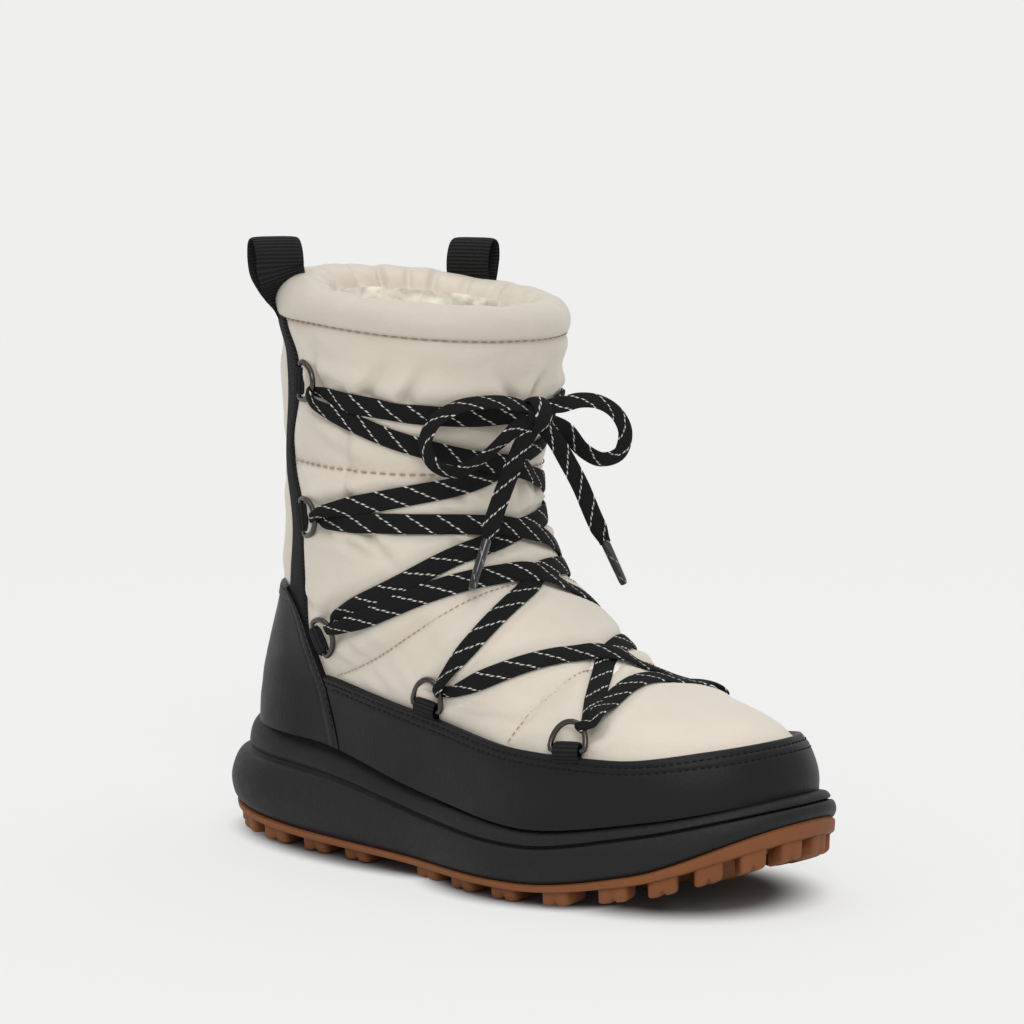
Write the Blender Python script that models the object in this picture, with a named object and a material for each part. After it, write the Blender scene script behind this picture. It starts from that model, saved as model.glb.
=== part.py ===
"""Winter boot for the right foot, built as separate named solids.

The tables and the arithmetic are in millimetres, the finished meshes in metres.
+X is the toe, -Y the outer (right) side, +Z up, and the sole stands on z = 0.
The upper's outer face is one function of an angle and a height.  Mudguard, counter,
strips, rings and lace are all laid on that function.
"""
import math
from collections import namedtuple

import bmesh
import bpy
import numpy as np
from mathutils import Vector
from mathutils.bvhtree import BVHTree

MM = 0.001
# Middle of the box in Y, which the finished meshes have at 0.
MIDDLE_Y = 2.201
GAP = 0.3
SEWN = 1.0
AROUND = 48

HEEL_X = -145.0
TOE_X = 145.0
HEEL_ROUND = 51.0
TOE_ROUND = 87.0
HEEL_POWER = 2.1
TOE_POWER = 2.2
TOE_SWING = 10.6
SWING_FROM = -20.0

WALL = 6.0
INSOLE_THICK = 4.0
MIDSOLE_GROOVE = 2.6

ROLL_RADIUS = 10.0
ROLL_X = -50.5
ROLL_Z = 219.7
ROLL_SLOPE = 0.0914
ROLL_BULGE = 4.5
ROLL_DROP = 8.0
ROLL_ARC = (-50.0, 205.0)
ROLL_STEPS = 7

GUARD_THICK = 1.7
COUNTER_THICK = 2.3
STRIP_WIDTH = 20.0
STRIP_THICK = 1.5
STRIP_FOOT = 100.0

RING_HALF = 6.5
RING_REACH = 10.5
RING_WIRE = 1.05
RING_TILT = 3.0
TAB_WIDTH = 11.0
TAB_THICK = 1.0
TAB_LEG = 3.4

LACE_WIDTH = 8.0
LACE_THICK = 1.5
LACE_LIFT = 1.5
LACE_SPREAD = 5.2
LACE_STEPS = 15
KNOT_AT = (12.5, 0.0, 181.0)
KNOT_SIZE = (9.0, 13.0, 11.0)
TIP_LENGTH = 20.0
TIP_RADIUS = 1.9

LUG_TIP = 0.9
LUG_INNER = 0.78
LUG_ROOT = 1.6

Sole = namedtuple("Sole", "x lug base border groove feather")
SOLE = (
    Sole(-145, 3.0, 11.2, 14.7, 36.0, 48.1),
    Sole(-70, 0.0, 5.3, 8.4, 33.3, 45.3),
    Sole(0, 0.0, 4.8, 7.5, 24.3, 32.5),
    Sole(50, 0.0, 5.2, 8.1, 22.2, 27.8),
    Sole(100, 6.3, 12.3, 16.0, 30.4, 35.1),
    Sole(145, 22.4, 29.6, 36.3, 42.1, 46.1),
)

Plan = namedtuple("Plan", "x right left")
PLAN = (
    Plan(-145, 44.0, 44.0),
    Plan(-95, 45.0, 45.0),
    Plan(-20, 48.0, 46.5),
    Plan(45, 59.4, 56.4),
    Plan(145, 55.2, 52.5),
)

# Side profiles: inset from the outline (plus lean times the band's height), then the share
# of the height between two columns of SOLE.
Side = namedtuple("Side", "inset lean low high share")
MIDSOLE_SIDE = (
    Side(2.2, 0.0, "border", "groove", 0.0),
    Side(0.5, 0.0, "border", "groove", 0.14),
    Side(0.0, 0.0, "border", "groove", 0.42),
    Side(0.7, 0.0, "border", "groove", 0.78),
    Side(1.8, 0.0, "border", "groove", 0.94),
    Side(1.8 + MIDSOLE_GROOVE, 0.0, "border", "groove", 1.0),
    Side(2.0, 0.05, "groove", "feather", 0.2),
    Side(2.0, 0.22, "groove", "feather", 0.55),
    Side(2.4, 0.46, "groove", "feather", 0.85),
    Side(3.4, 0.66, "groove", "feather", 1.0),
)
OUTSOLE_SIDE = (
    Side(3.0, 0.0, "base", "border", 0.0),
    Side(0.6, 0.0, "base", "border", 0.15),
    Side(0.4, 0.0, "base", "border", 0.75),
    Side(1.6, 0.0, "base", "border", 1.0),
)

Section = namedtuple("Section", "z heel toe heel_w waist_w ball_w heel_r toe_r toe_p inner")
SECTIONS = (
    Section(22, -124.0, 131.0, 38.0, 42.0, 51.0, 44, 80, 2.2, 0.95),
    Section(46, -126.0, 134.0, 39.0, 43.5, 51.5, 45, 78, 2.2, 0.95),
    Section(57, -125.5, 132.0, 39.0, 44.0, 50.0, 45, 78, 2.2, 0.95),
    Section(64, -124.5, 126.0, 39.0, 44.5, 47.5, 46, 80, 2.15, 0.96),
    Section(69, -124.0, 112.0, 39.0, 44.5, 45.0, 47, 82, 2.1, 0.97),
    Section(76, -122.0, 77.0, 39.5, 45.0, 44.5, 48, 80, 2.0, 0.98),
    Section(84, -119.5, 55.0, 40.5, 46.0, 45.5, 51, 72, 1.95, 0.99),
    Section(102, -113.5, 30.0, 43.0, 47.5, 46.5, 57, 64, 1.85, 1.0),
    Section(119, -109.5, 12.0, 46.0, 49.0, 48.5, 59, 58, 1.85, 1.0),
    Section(139, -105.5, 1.5, 49.0, 50.5, 50.0, 54, 54, 1.9, 1.0),
    Section(160, -104.5, -1.0, 50.5, 51.0, 51.0, 52, 52, 2.0, 1.0),
    Section(182, -104.0, 2.5, 50.5, 51.0, 51.0, 53, 53, 2.1, 1.0),
    Section(206, -105.0, 6.0, 51.0, 51.5, 51.5, 55, 55, 2.15, 1.0),
    Section(236, -107.0, 9.0, 52.0, 52.5, 52.5, 58, 58, 2.15, 1.0),
)
OUTER_SHARES = (0, .05, .09, .12, .145, .165, .185, .21, .24, .28, .34, .42, .50, .58, .66, .74, .82, .91, 1)
INNER_SHARES = (.97, .78, .58, .42, .31, .24, .185, .12, 0)

# Quilt seams as lines in the side view, with the puff of the panel above each.
Seam = namedtuple("Seam", "x z slope puff")
SEAMS = (
    Seam(53.0, 88.0, 62.0, 2.6),
    Seam(17.0, 120.5, 32.0, 3.6),
    Seam(0.0, 156.5, -2.7, 2.6),
    Seam(ROLL_X, ROLL_Z - ROLL_DROP, -5.2, 0.0),
)
TOE_PUFF = 2.2
PUFF_FADE = 12.0
PUFF_CLEAR = 9.0

Edge = namedtuple("Edge", "x z")
GUARD_TOP = (
    Edge(-145, 76.0),
    Edge(-65, 74.0),
    Edge(-35, 70.0),
    Edge(0, 64.0),
    Edge(50, 57.0),
    Edge(90, 57.5),
    Edge(120, 62.0),
    Edge(145, 67.0),
)
COUNTER_FRONT = (
    Edge(-54.0, 36.0),
    Edge(-55.5, 46.0),
    Edge(-63.0, 70.0),
    Edge(-71.5, 92.0),
    Edge(-80.0, 102.0),
    Edge(-92.0, 108.0),
    Edge(-100.0, 110.0),
)
COUNTER_TOP = 107.0

# Angles of the strips from the front; the whole shaft is turned a little to the outer side.
SHAFT_TURN = 6.0
Strip = namedtuple("Strip", "z angle")
STRIP = (Strip(90, 119.0), Strip(140, 114.0), Strip(190, 116.0), Strip(214, 118.0))

# The pull loop, out from the wall and up from the crease under the collar roll.
Hoop = namedtuple("Hoop", "out up")
LOOP = (
    Hoop(1.9, -1.4), Hoop(4.5, 2.6), Hoop(6.0, 8.0), Hoop(6.1, 16.0), Hoop(6.4, 24.0),
    Hoop(8.0, 30.2), Hoop(11.0, 32.6), Hoop(14.0, 31.0), Hoop(15.4, 26.0), Hoop(14.4, 18.0),
    Hoop(11.4, 9.0), Hoop(7.8, 2.4), Hoop(4.9, -2.6),
)

# Ring bars: where on the side view, and the lean of the ring from straight up toward the toe.
Ring = namedtuple("Ring", "x z lean on_strip")
RINGS = (
    Ring(0.0, 194.0, 97.0, True),
    Ring(0.0, 139.0, 85.0, True),
    Ring(-62.5, 87.5, 62.0, False),
    Ring(-2.0, 69.5, 8.0, False),
    Ring(70.0, 61.8, -4.0, False),
)

# Lace runs between rings: right ring, left ring, and where the run meets the middle plane.
Run = namedtuple("Run", "right left x z")
RUNS = {
    "lace_bar": (Run(5, 5, 75.0, 80.0),),
    "lace_cross_1": (Run(5, 4, 51.0, 88.0), Run(4, 5, 51.0, 88.0)),
    "lace_cross_2": (Run(4, 3, 16.5, 121.0), Run(3, 4, 16.5, 121.0)),
    "lace_cross_3": (Run(3, 2, 5.0, 139.0), Run(2, 3, 5.0, 139.0)),
    "lace_cross_4": (Run(2, 1, 2.0, 160.0), Run(1, 2, 2.0, 160.0)),
}

# Hand-chosen middle lines of the tied bow.
BOW = {
    "lace_loop_right": (
        (11.5, -10.5, 186.0), (9.2, -22.5, 187.5), (2.4, -35.5, 185.5), (-3.2, -42.5, 179.0),
        (-5.0, -44.5, 171.0), (-2.2, -41.5, 163.0), (2.9, -34.8, 160.6), (7.5, -26.7, 165.0),
        (10.9, -17.7, 172.0), (12.0, -10.5, 176.5),
    ),
    "lace_loop_left": (
        (15.5, 10.5, 186.0), (18.3, 18.8, 188.0), (21.3, 28.4, 186.5), (23.6, 37.4, 180.5),
        (24.7, 41.6, 172.2), (24.0, 38.8, 163.1), (21.7, 29.9, 160.4), (19.2, 20.1, 165.0),
        (16.5, 10.5, 175.0),
    ),
    "lace_end_right": (
        (14.6, -4.8, 170.5), (15.0, -9.0, 164.0), (14.5, -15.0, 152.0), (14.0, -21.0, 142.0),
        (13.5, -26.0, 133.5),
    ),
    "lace_end_left": (
        (18.0, 5.5, 170.5), (19.0, 10.0, 163.0), (20.4, 16.3, 152.5), (21.9, 22.4, 140.0),
        (23.4, 28.6, 128.5),
    ),
}
ENDS = {"lace_tip_right": "lace_end_right", "lace_tip_left": "lace_end_left"}

# Edge tread blocks: distance from the toe's tip along the outline, length inward, width.
Tread = namedtuple("Tread", "along length width")
TREAD = (
    Tread(9, 11, 11.0), Tread(27, 11, 11.0), Tread(45, 12, 11.5), Tread(63, 13, 12.0), Tread(83, 16, 12.5),
    Tread(108, 18, 12.5), Tread(133, 20, 12.5), Tread(158, 20, 12.5), Tread(182, 19, 12.5),
    Tread(225, 18, 12.5), Tread(250, 18, 12.5), Tread(275, 16, 12.5), Tread(299, 13, 12.0),
    Tread(324, 12, 12.0),
)
TREAD_INSET = 0.7
Lug = namedtuple("Lug", "x y length width turn")
MIDDLE_LUGS = (
    Lug(-112, 0, 15, 18, 0),
    Lug(-86, 0, 14, 24, 0),
    Lug(-58, 0, 14, 26, 0),
    Lug(-30, 0, 14, 28, 0),
    Lug(-2, 0, 14, 30, 0),
    Lug(26, 0, 15, 36, 0),
    Lug(54, 1, 15, 40, 0),
    Lug(80, 3, 14, 38, 0),
    Lug(104, 5, 13, 30, 0),
)

Paint = namedtuple("Paint", "colour rough metal")
PAINTS = {
    "gum": Paint((0.30, 0.13, 0.05), 0.6, 0.0),
    "black_rubber": Paint((0.02, 0.02, 0.02), 0.55, 0.0),
    "nylon": Paint((0.80, 0.76, 0.66), 0.45, 0.0),
    "leather": Paint((0.018, 0.018, 0.019), 0.5, 0.0),
    "webbing": Paint((0.015, 0.015, 0.016), 0.75, 0.0),
    "fleece": Paint((0.82, 0.79, 0.70), 0.9, 0.0),
    "gunmetal": Paint((0.20, 0.20, 0.21), 0.3, 1.0),
    "cord": Paint((0.02, 0.02, 0.022), 0.8, 0.0),
    "tip": Paint((0.02, 0.02, 0.022), 0.2, 0.0),
}


# Small tools

def column(table, name):
    return np.array([getattr(row, name) for row in table], float)


def smooth(xs, ys, where):
    """Cubic through the rows that does not overshoot."""
    step = np.diff(xs)
    rise = np.diff(ys) / step
    both = rise[:-1] * rise[1:]
    slope = np.zeros(len(xs))
    slope[1:-1] = np.where(both > 0, 2 * both / np.where(both > 0, rise[:-1] + rise[1:], 1), 0)
    slope[0], slope[-1] = rise[0], rise[-1]
    where = np.clip(where, xs[0], xs[-1])
    i = np.clip(np.searchsorted(xs, where, "right") - 1, 0, len(step) - 1)
    u = (where - xs[i]) / step[i]
    a = (1 + 2 * u) * (1 - u) ** 2 * ys[i] + u * (1 - u) ** 2 * step[i] * slope[i]
    b = u * u * (3 - 2 * u) * ys[i + 1] - u * u * (1 - u) * step[i] * slope[i + 1]
    return a + b


def look(table, key, name, where):
    return smooth(column(table, key), column(table, name), np.asarray(where, float))


def ease(x):
    x = np.clip(x, 0.0, 1.0)
    return x * x * (3 - 2 * x)


def unit(v):
    return v / np.maximum(np.linalg.norm(v, axis=-1, keepdims=True), 1e-9)


def stack(*parts):
    return np.stack(np.broadcast_arrays(*parts), axis=-1)


# Outline of the sole and sections of the upper

def swing(x):
    return TOE_SWING * np.clip((x - SWING_FROM) / (TOE_X - SWING_FROM), 0, None) ** 2


def ends(x, heel, toe, heel_r, toe_r, toe_p):
    front = np.clip((x - toe + toe_r) / toe_r, 0, 1) ** toe_p
    back = np.clip((heel + heel_r - x) / heel_r, 0, 1) ** HEEL_POWER
    return (1 - front) ** (1 / toe_p) * (1 - back) ** (1 / HEEL_POWER)


def outline(t):
    x = (HEEL_X + TOE_X) / 2 + (TOE_X - HEEL_X) / 2 * np.cos(t)
    width = np.where(np.sin(t) > 0, -look(PLAN, "x", "right", x), look(PLAN, "x", "left", x))
    return stack(x, swing(x) + width * ends(x, HEEL_X, TOE_X, HEEL_ROUND, TOE_ROUND, TOE_POWER))


def inset_outline(t, inset):
    along = outline(t + 1e-3) - outline(t - 1e-3)
    out = unit(stack(-along[..., 1], along[..., 0]))
    return outline(t) - out * np.asarray(inset)[..., None]


def form(t, z):
    """The upper's outer face before the quilting puffs."""
    row = {name: look(SECTIONS, "z", name, z) for name in Section._fields[1:]}
    long = row["toe"] - row["heel"]
    x = row["heel"] + long * (0.5 + 0.5 * np.cos(t))
    share = (x - row["heel"]) / long
    width = row["heel_w"] + (row["waist_w"] - row["heel_w"]) * ease((share - 0.18) / 0.27)
    width = width + (row["ball_w"] - row["waist_w"]) * ease((share - 0.42) / 0.28)
    width = width * ends(x, row["heel"], row["toe"], row["heel_r"], row["toe_r"], row["toe_p"])
    side = np.where(np.sin(t) > 0, -1.0, row["inner"])
    return stack(x, swing(x) + side * width, z)


def facing(t, z):
    along = form(t + 1e-3, z) - form(t - 1e-3, z)
    up = form(t, z + 0.2) - form(t, z - 0.2)
    return unit(np.cross(up, along))


def level_facing(t, z):
    return unit(facing(t, z) * np.array([1.0, 1.0, 0.0]))


def counter_edge(z):
    ordered = sorted(COUNTER_FRONT, key=lambda edge: edge.z)
    return smooth(column(ordered, "z"), column(ordered, "x"), z)


def counter_edge_height(x):
    ordered = sorted(COUNTER_FRONT)
    return smooth(column(ordered, "x"), column(ordered, "z"), x)


def strip_angle(z, off, side):
    """Angle of a line on a side's strip, off millimetres behind its middle."""
    t = np.radians(look(STRIP, "z", "angle", z) + side * SHAFT_TURN)
    speed = np.linalg.norm(form(t + 1e-3, z) - form(t - 1e-3, z), axis=-1) / 2e-3
    return side * (t + off / speed)


def off_strip(t, z):
    """Distance from the edge of the strip on the same side, along the section."""
    folded = (t + np.pi) % (2 * np.pi) - np.pi
    side = np.where(folded > 0, 1.0, -1.0)
    middle = strip_angle(z, 0.0, side)
    return np.abs((folded - middle) / (strip_angle(z, 1.0, side) - middle)) - STRIP_WIDTH / 2


def puff(t, x, z):
    """Height of the quilting over the plain form; none under what is sewn on."""
    low = z - look(GUARD_TOP, "x", "z", x)
    bare = np.minimum(low, np.maximum(x - counter_edge(z), z - COUNTER_TOP))
    bare = np.minimum(bare, off_strip(t, z))
    lines = [low]
    for seam in SEAMS:
        turn = math.radians(seam.slope)
        lines.append((z - seam.z) * math.cos(turn) - (x - seam.x) * math.sin(turn))
    high = [TOE_PUFF, *column(SEAMS, "puff")]
    total = np.zeros_like(low)
    for under, over, rise in zip(lines, lines[1:], high):
        share = np.clip(under / np.maximum(under - over, 1e-6), 0, 1)
        inside = (under > 0) & (over < 0)
        total = total + np.where(inside, rise * np.sin(np.pi * share) ** 0.7, 0)
    return total * ease((bare - PUFF_CLEAR) / PUFF_FADE)


def skin(t, z, lift):
    """A point on the quilted face, lifted along its normal."""
    base = form(t, z)
    high = puff(t, base[..., 0], base[..., 2]) + lift
    return base + facing(t, z) * high[..., None]


def lining(t, z):
    return form(t, z) - facing(t, z) * WALL


def roll_height(x):
    return ROLL_Z - ROLL_SLOPE * (x - ROLL_X)


def between(t, share, top):
    """Height at a share of the way from the midsole's edge up to the height top(x)."""
    z = np.full_like(t, 60.0)
    for _ in range(6):
        x = form(t, z)[..., 0]
        foot = look(SOLE, "x", "feather", x) + SEWN
        z = foot + share * (top(x) - foot)
    return z


def angle_at(x, z):
    """Angle on the right side where the form has this x at this height."""
    heel = look(SECTIONS, "z", "heel", z)
    toe = look(SECTIONS, "z", "toe", z)
    return np.arccos(np.clip((2 * x - heel - toe) / (toe - heel), -1, 1))


# Meshes from grids

def grid(name, across, along, place, paint, caps=False):
    """A grid wrapped by place(u, v); edges that come together are merged into one body."""
    bm = bmesh.new()
    bmesh.ops.create_grid(bm, x_segments=across, y_segments=along, size=0.5)
    uv = np.array([v.co[:2] for v in bm.verts]) + 0.5
    u = np.round(uv[:, 0] * across).astype(int)
    v = np.round(uv[:, 1] * along).astype(int)
    for vert, point in zip(bm.verts, place(u, v)):
        vert.co = point
    bmesh.ops.remove_doubles(bm, verts=bm.verts, dist=1e-4)
    bmesh.ops.dissolve_degenerate(bm, edges=bm.edges, dist=1e-4)
    if caps:
        rim = [edge for edge in bm.edges if edge.is_boundary]
        bmesh.ops.holes_fill(bm, edges=rim, sides=0)
    return finish(name, bm, paint)


def finish(name, bm, paint):
    """Turns the faces outward, goes from millimetres to metres and makes the object."""
    for vert in bm.verts:
        vert.co = (vert.co - Vector((0, MIDDLE_Y, 0))) * MM
    bm.normal_update()
    bmesh.ops.recalc_face_normals(bm, faces=bm.faces)
    if bm.calc_volume(signed=True) < 0:
        bmesh.ops.reverse_faces(bm, faces=bm.faces)
    mesh = bpy.data.meshes.new(name)
    bm.to_mesh(mesh)
    bm.free()
    body = bpy.data.objects.new(name, mesh)
    bpy.context.scene.collection.objects.link(body)
    mesh.materials.append(material(paint))
    return body


def material(name):
    made = bpy.data.materials.get(name)
    if made is None:
        made = bpy.data.materials.new(name)
        made.use_nodes = True
        shader = made.node_tree.nodes["Principled BSDF"]
        paint = PAINTS[name]
        shader.inputs["Base Color"].default_value = (*paint.colour, 1)
        shader.inputs["Roughness"].default_value = paint.rough
        shader.inputs["Metallic"].default_value = paint.metal
    return made


def turn_of(u, count=AROUND):
    return 2 * np.pi * (u % count) / count


def joined(body, other):
    """Union of two bodies; the second one is used up."""
    union = body.modifiers.new("union", "BOOLEAN")
    union.operation = "UNION"
    union.solver = "MANIFOLD"
    union.object = other
    bpy.context.view_layer.update()
    made = bpy.data.meshes.new_from_object(body.evaluated_get(bpy.context.evaluated_depsgraph_get()))
    body.modifiers.clear()
    body.data = made
    bpy.data.objects.remove(other)
    return body


# Sole

def sole_slab(name, profile, paint, under, over):
    """A slab on the sole's outline: middle line, side profile, middle line."""
    rows = len(profile) + 1

    def place(u, v):
        t = turn_of(u)
        k = np.clip(v - 1, 0, rows - 2)
        near = outline(t)[:, 0]
        inset = np.zeros_like(near)
        for i, row in enumerate(profile):
            height = look(SOLE, "x", row.high, near) - look(SOLE, "x", row.low, near)
            inset = np.where(k == i, row.inset + row.lean * height, inset)
        point = inset_outline(t, inset)
        x = point[:, 0]
        z = np.zeros_like(x)
        for i, row in enumerate(profile):
            low = look(SOLE, "x", row.low, x)
            high = look(SOLE, "x", row.high, x)
            z = np.where(k == i, low + row.share * (high - low), z)
        z = z + np.where(k == 0, under, 0) - np.where(k == rows - 2, over, 0)
        middle = (v == 0) | (v == rows)
        x = np.where(middle, (x + inset_outline(-t, inset)[:, 0]) / 2, x)
        y = np.where(middle, swing(x), point[:, 1])
        low = look(SOLE, "x", profile[0].low, x) + under
        high = look(SOLE, "x", profile[-1].high, x) - over
        z = np.where(v == 0, low, np.where(v == rows, high, z))
        return stack(x, y, z)

    return grid(name, AROUND, rows, place, paint)


def lug_block(bm, lug):
    """One tapered tread block; its foot follows the rocker of the sole."""
    turn = np.array([[math.cos(lug.turn), -math.sin(lug.turn)], [math.sin(lug.turn), math.cos(lug.turn)]])
    for vert in bmesh.ops.create_cube(bm, size=1.0)["verts"]:
        low = vert.co.z < 0
        taper = LUG_TIP if low else 1.0
        inner = LUG_INNER if vert.co.x < 0 else 1.0
        local = np.array([vert.co.x * lug.length, vert.co.y * lug.width * inner]) * taper
        x, y = turn @ local + np.array([lug.x, lug.y])
        level = look(SOLE, "x", "lug", x) if low else look(SOLE, "x", "base", x) + LUG_ROOT
        vert.co = Vector((x, y, float(level)))


def edge_lugs():
    """Tread blocks set square to the outline, the same on both sides."""
    made = []
    for side in (1, -1):
        t = side * np.linspace(0, np.pi, 721)
        run = np.linalg.norm(np.diff(outline(t), axis=0), axis=1).cumsum()
        for tread in TREAD:
            angle = np.array([np.interp(tread.along, run, t[1:])])
            along = (outline(angle + 1e-3) - outline(angle - 1e-3))[0]
            at = inset_outline(angle, np.array([tread.length / 2 + TREAD_INSET]))[0]
            turn = math.atan2(along[0], -along[1])
            made.append(Lug(at[0], at[1], tread.length, tread.width, turn))
    return made


def build_outsole():
    slab = sole_slab("outsole", OUTSOLE_SIDE, "gum", 0.0, 0.0)
    bm = bmesh.new()
    for lug in (*edge_lugs(), *MIDDLE_LUGS):
        lug_block(bm, lug)
    return joined(slab, finish("lugs", bm, "gum"))


def build_insole():
    def place(u, v):
        t = turn_of(u)
        z = between(t, 0.015, lambda x: np.full_like(x, 212.0))
        point, other = (form(turn, z) - level_facing(turn, z) * (WALL + 2.2) for turn in (t, -t))
        middle = (v == 0) | (v == 3)
        x = np.where(middle, (point[:, 0] + other[:, 0]) / 2, point[:, 0])
        y = np.where(middle, swing(x), point[:, 1])
        return stack(x, y, look(SOLE, "x", "feather", x) + SEWN + np.where(v >= 2, INSOLE_THICK, 0.0))

    return grid("insole", AROUND, 3, place, "fleece")


# Upper and what is sewn on it

def build_upper():
    outer, inner = len(OUTER_SHARES), len(INNER_SHARES)
    rows = outer + ROLL_STEPS + inner

    def crease(x):
        return roll_height(x) - ROLL_DROP

    def place(u, v):
        t = turn_of(u)
        v = v % rows
        share = np.concatenate([OUTER_SHARES, np.ones(ROLL_STEPS), INNER_SHARES])[v]
        z = between(t, share, crease)
        wall = skin(t, z, np.zeros_like(t))
        inside = lining(t, z)
        inside[:, 2] = np.where(share == 0, z, inside[:, 2])
        out = unit(facing(t, z) * np.array([1.0, 1.0, 0.0]))
        step = np.clip(v - outer, 0, ROLL_STEPS - 1) / (ROLL_STEPS - 1)
        swept = np.radians(ROLL_ARC[0] + (ROLL_ARC[1] - ROLL_ARC[0]) * step)
        reach = ROLL_BULGE - ROLL_RADIUS + ROLL_RADIUS * np.cos(swept)
        roll = form(t, z) + out * reach[:, None]
        roll[:, 2] += ROLL_DROP + ROLL_RADIUS * np.sin(swept)
        kind = np.where(v < outer, 0, np.where(v < outer + ROLL_STEPS, 1, 2))[:, None]
        return np.where(kind == 0, wall, np.where(kind == 1, roll, inside))

    u, v = np.meshgrid(np.arange(AROUND), np.arange(outer))
    index = v * AROUND + u
    ahead = np.roll(index, -1, axis=1)
    faces = np.stack([index[:-1], index[1:], ahead[1:], ahead[:-1]], axis=-1).reshape(-1, 4)
    tree = BVHTree.FromPolygons(place(u.ravel(), v.ravel()).tolist(), faces.tolist())
    return grid("upper", AROUND, rows, place, "nylon"), tree


def overlay(name, across, shares, span, top, thick, paint):
    """A sewn-on piece between the midsole's edge and top(x), over the angles given by span(z)."""
    levels = np.array([*shares, 1.0, *shares[::-1]])
    lifts = np.repeat([SEWN + thick, SEWN + thick / 2, SEWN], [len(shares), 1, len(shares)])
    levels[len(shares) - 1] = 0.985
    rows = len(levels)

    def place(u, v):
        v = v % rows
        z = np.full(len(u), 60.0)
        for _ in range(6):
            first, last = span(z)
            t = first + (last - first) * u / across
            z = between(t, levels[v], top)
        return skin(t, z, lifts[v])

    return grid(name, across, rows, place, paint, caps=True)


def build_guard():
    def span(z):
        edge = angle_at(counter_edge(z) + 0.8, z)
        return -edge, edge

    return overlay("mudguard", 40, (0, .3, .65, 1), span, lambda x: look(GUARD_TOP, "x", "z", x),
                   GUARD_THICK, "leather")


def build_counter():
    def span(z):
        edge = angle_at(counter_edge(z), z)
        return edge, 2 * np.pi - edge

    return overlay("heel_counter", 24, (0, .2, .4, .6, .8, 1), span,
                   lambda x: np.full_like(x, COUNTER_TOP), COUNTER_THICK, "leather")


def build_strip(name, side):
    across, along = 4, 14

    def place(u, v):
        ring = 2 * (across + 1)
        v = v % ring
        off = np.where(v <= across, v, ring - 1 - v) / across - 0.5
        lift = np.where(v <= across, SEWN + STRIP_THICK, SEWN)
        foot = np.full(len(u), STRIP_FOOT)
        x = form(strip_angle(foot, off * STRIP_WIDTH, side), foot)[:, 0]
        low = np.maximum(counter_edge_height(x) + 3.6, STRIP_FOOT - 5.0)
        high = roll_height(x) - ROLL_DROP - 3.0
        z = low + (high - low) * u / along
        return skin(strip_angle(z, off * STRIP_WIDTH, side), z, lift)

    return grid(name, along, 2 * (across + 1), place, "webbing", caps=True)


def band_points(path, out, width, thick, u, v):
    """Flat band: corner v of the four-sided section at station u."""
    along = unit(np.gradient(path, axis=0))
    wide = unit(np.cross(along, out))
    out = unit(np.cross(wide, along))
    sx = np.array([-0.5, 0.5, 0.5, -0.5])[v % 4]
    sy = np.array([0.5, 0.5, -0.5, -0.5])[v % 4]
    return path[u] + wide[u] * (sx * width)[:, None] + out[u] * (sy * thick)[:, None]


def band(name, path, out, width, thick, paint):
    return grid(name, len(path) - 1, 4, lambda u, v: band_points(path, out, width, thick, u, v),
                paint, caps=True)


def build_loop(name, side):
    z = np.array([ROLL_Z - ROLL_DROP + 3.0])
    t = strip_angle(z, 0.0, side)
    root = form(t, z)[0]
    root[2] = roll_height(root[0]) - ROLL_DROP
    out = unit(facing(t, z)[0] * np.array([1.0, 1.0, 0.0]))
    up = np.array([0.0, 0.0, 1.0])
    path = root + column(LOOP, "out")[:, None] * out + column(LOOP, "up")[:, None] * up
    wide = np.cross(up, out)
    across = np.cross(unit(np.gradient(path, axis=0)), np.broadcast_to(wide, path.shape))
    return band(name, path, across, STRIP_WIDTH, STRIP_THICK, "webbing")


# Rings and lace

def ring_seat(number, side):
    """Bar centre and the three directions of a ring: outward from the boot, reach, bar."""
    ring = RINGS[number - 1]
    z = np.array([ring.z])
    if ring.on_strip:
        t = strip_angle(z, -STRIP_WIDTH / 2 - TAB_LEG - 1.0, side)
    else:
        t = side * angle_at(np.array([ring.x]), z)
    at = skin(t, z, np.zeros(1))[0]
    out = facing(t, z)[0]
    up = unit(np.array([0.0, 0.0, 1.0]) - out * out[2])
    ahead = np.cross(up, out) * side
    lean = math.radians(ring.lean)
    reach = math.cos(lean) * up - math.sin(lean) * ahead * -1.0
    return at, out, reach, np.cross(out, reach)


def bar_height():
    return GAP + 1.5 * TAB_THICK + RING_WIRE + GAP


def build_ring(name, number, side):
    at, out, reach, bar = ring_seat(number, side)
    tilt = math.radians(RING_TILT)
    reach = math.cos(tilt) * reach + math.sin(tilt) * out
    level = np.cross(reach, bar)
    bend = np.linspace(0, math.pi, 9)
    local = np.array([[-RING_HALF * math.cos(a), RING_REACH * math.sin(a) ** 0.8] for a in bend])
    local = np.concatenate([local, [[RING_HALF * 0.4, 0.0], [-RING_HALF * 0.4, 0.0]]])
    path = at + out * bar_height() + local[:, :1] * bar + local[:, 1:] * reach
    count, sides = len(path), 5

    def place(u, v):
        ahead = unit(path[(u + 1) % count] - path[(u - 1) % count])
        across = np.cross(ahead, level)
        turn = 2 * np.pi * (v % sides) / sides
        ring = np.cos(turn)[:, None] * across + np.sin(turn)[:, None] * level
        return path[u % count] + RING_WIRE * ring

    return grid(name, count, sides, place, "gunmetal")


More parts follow.
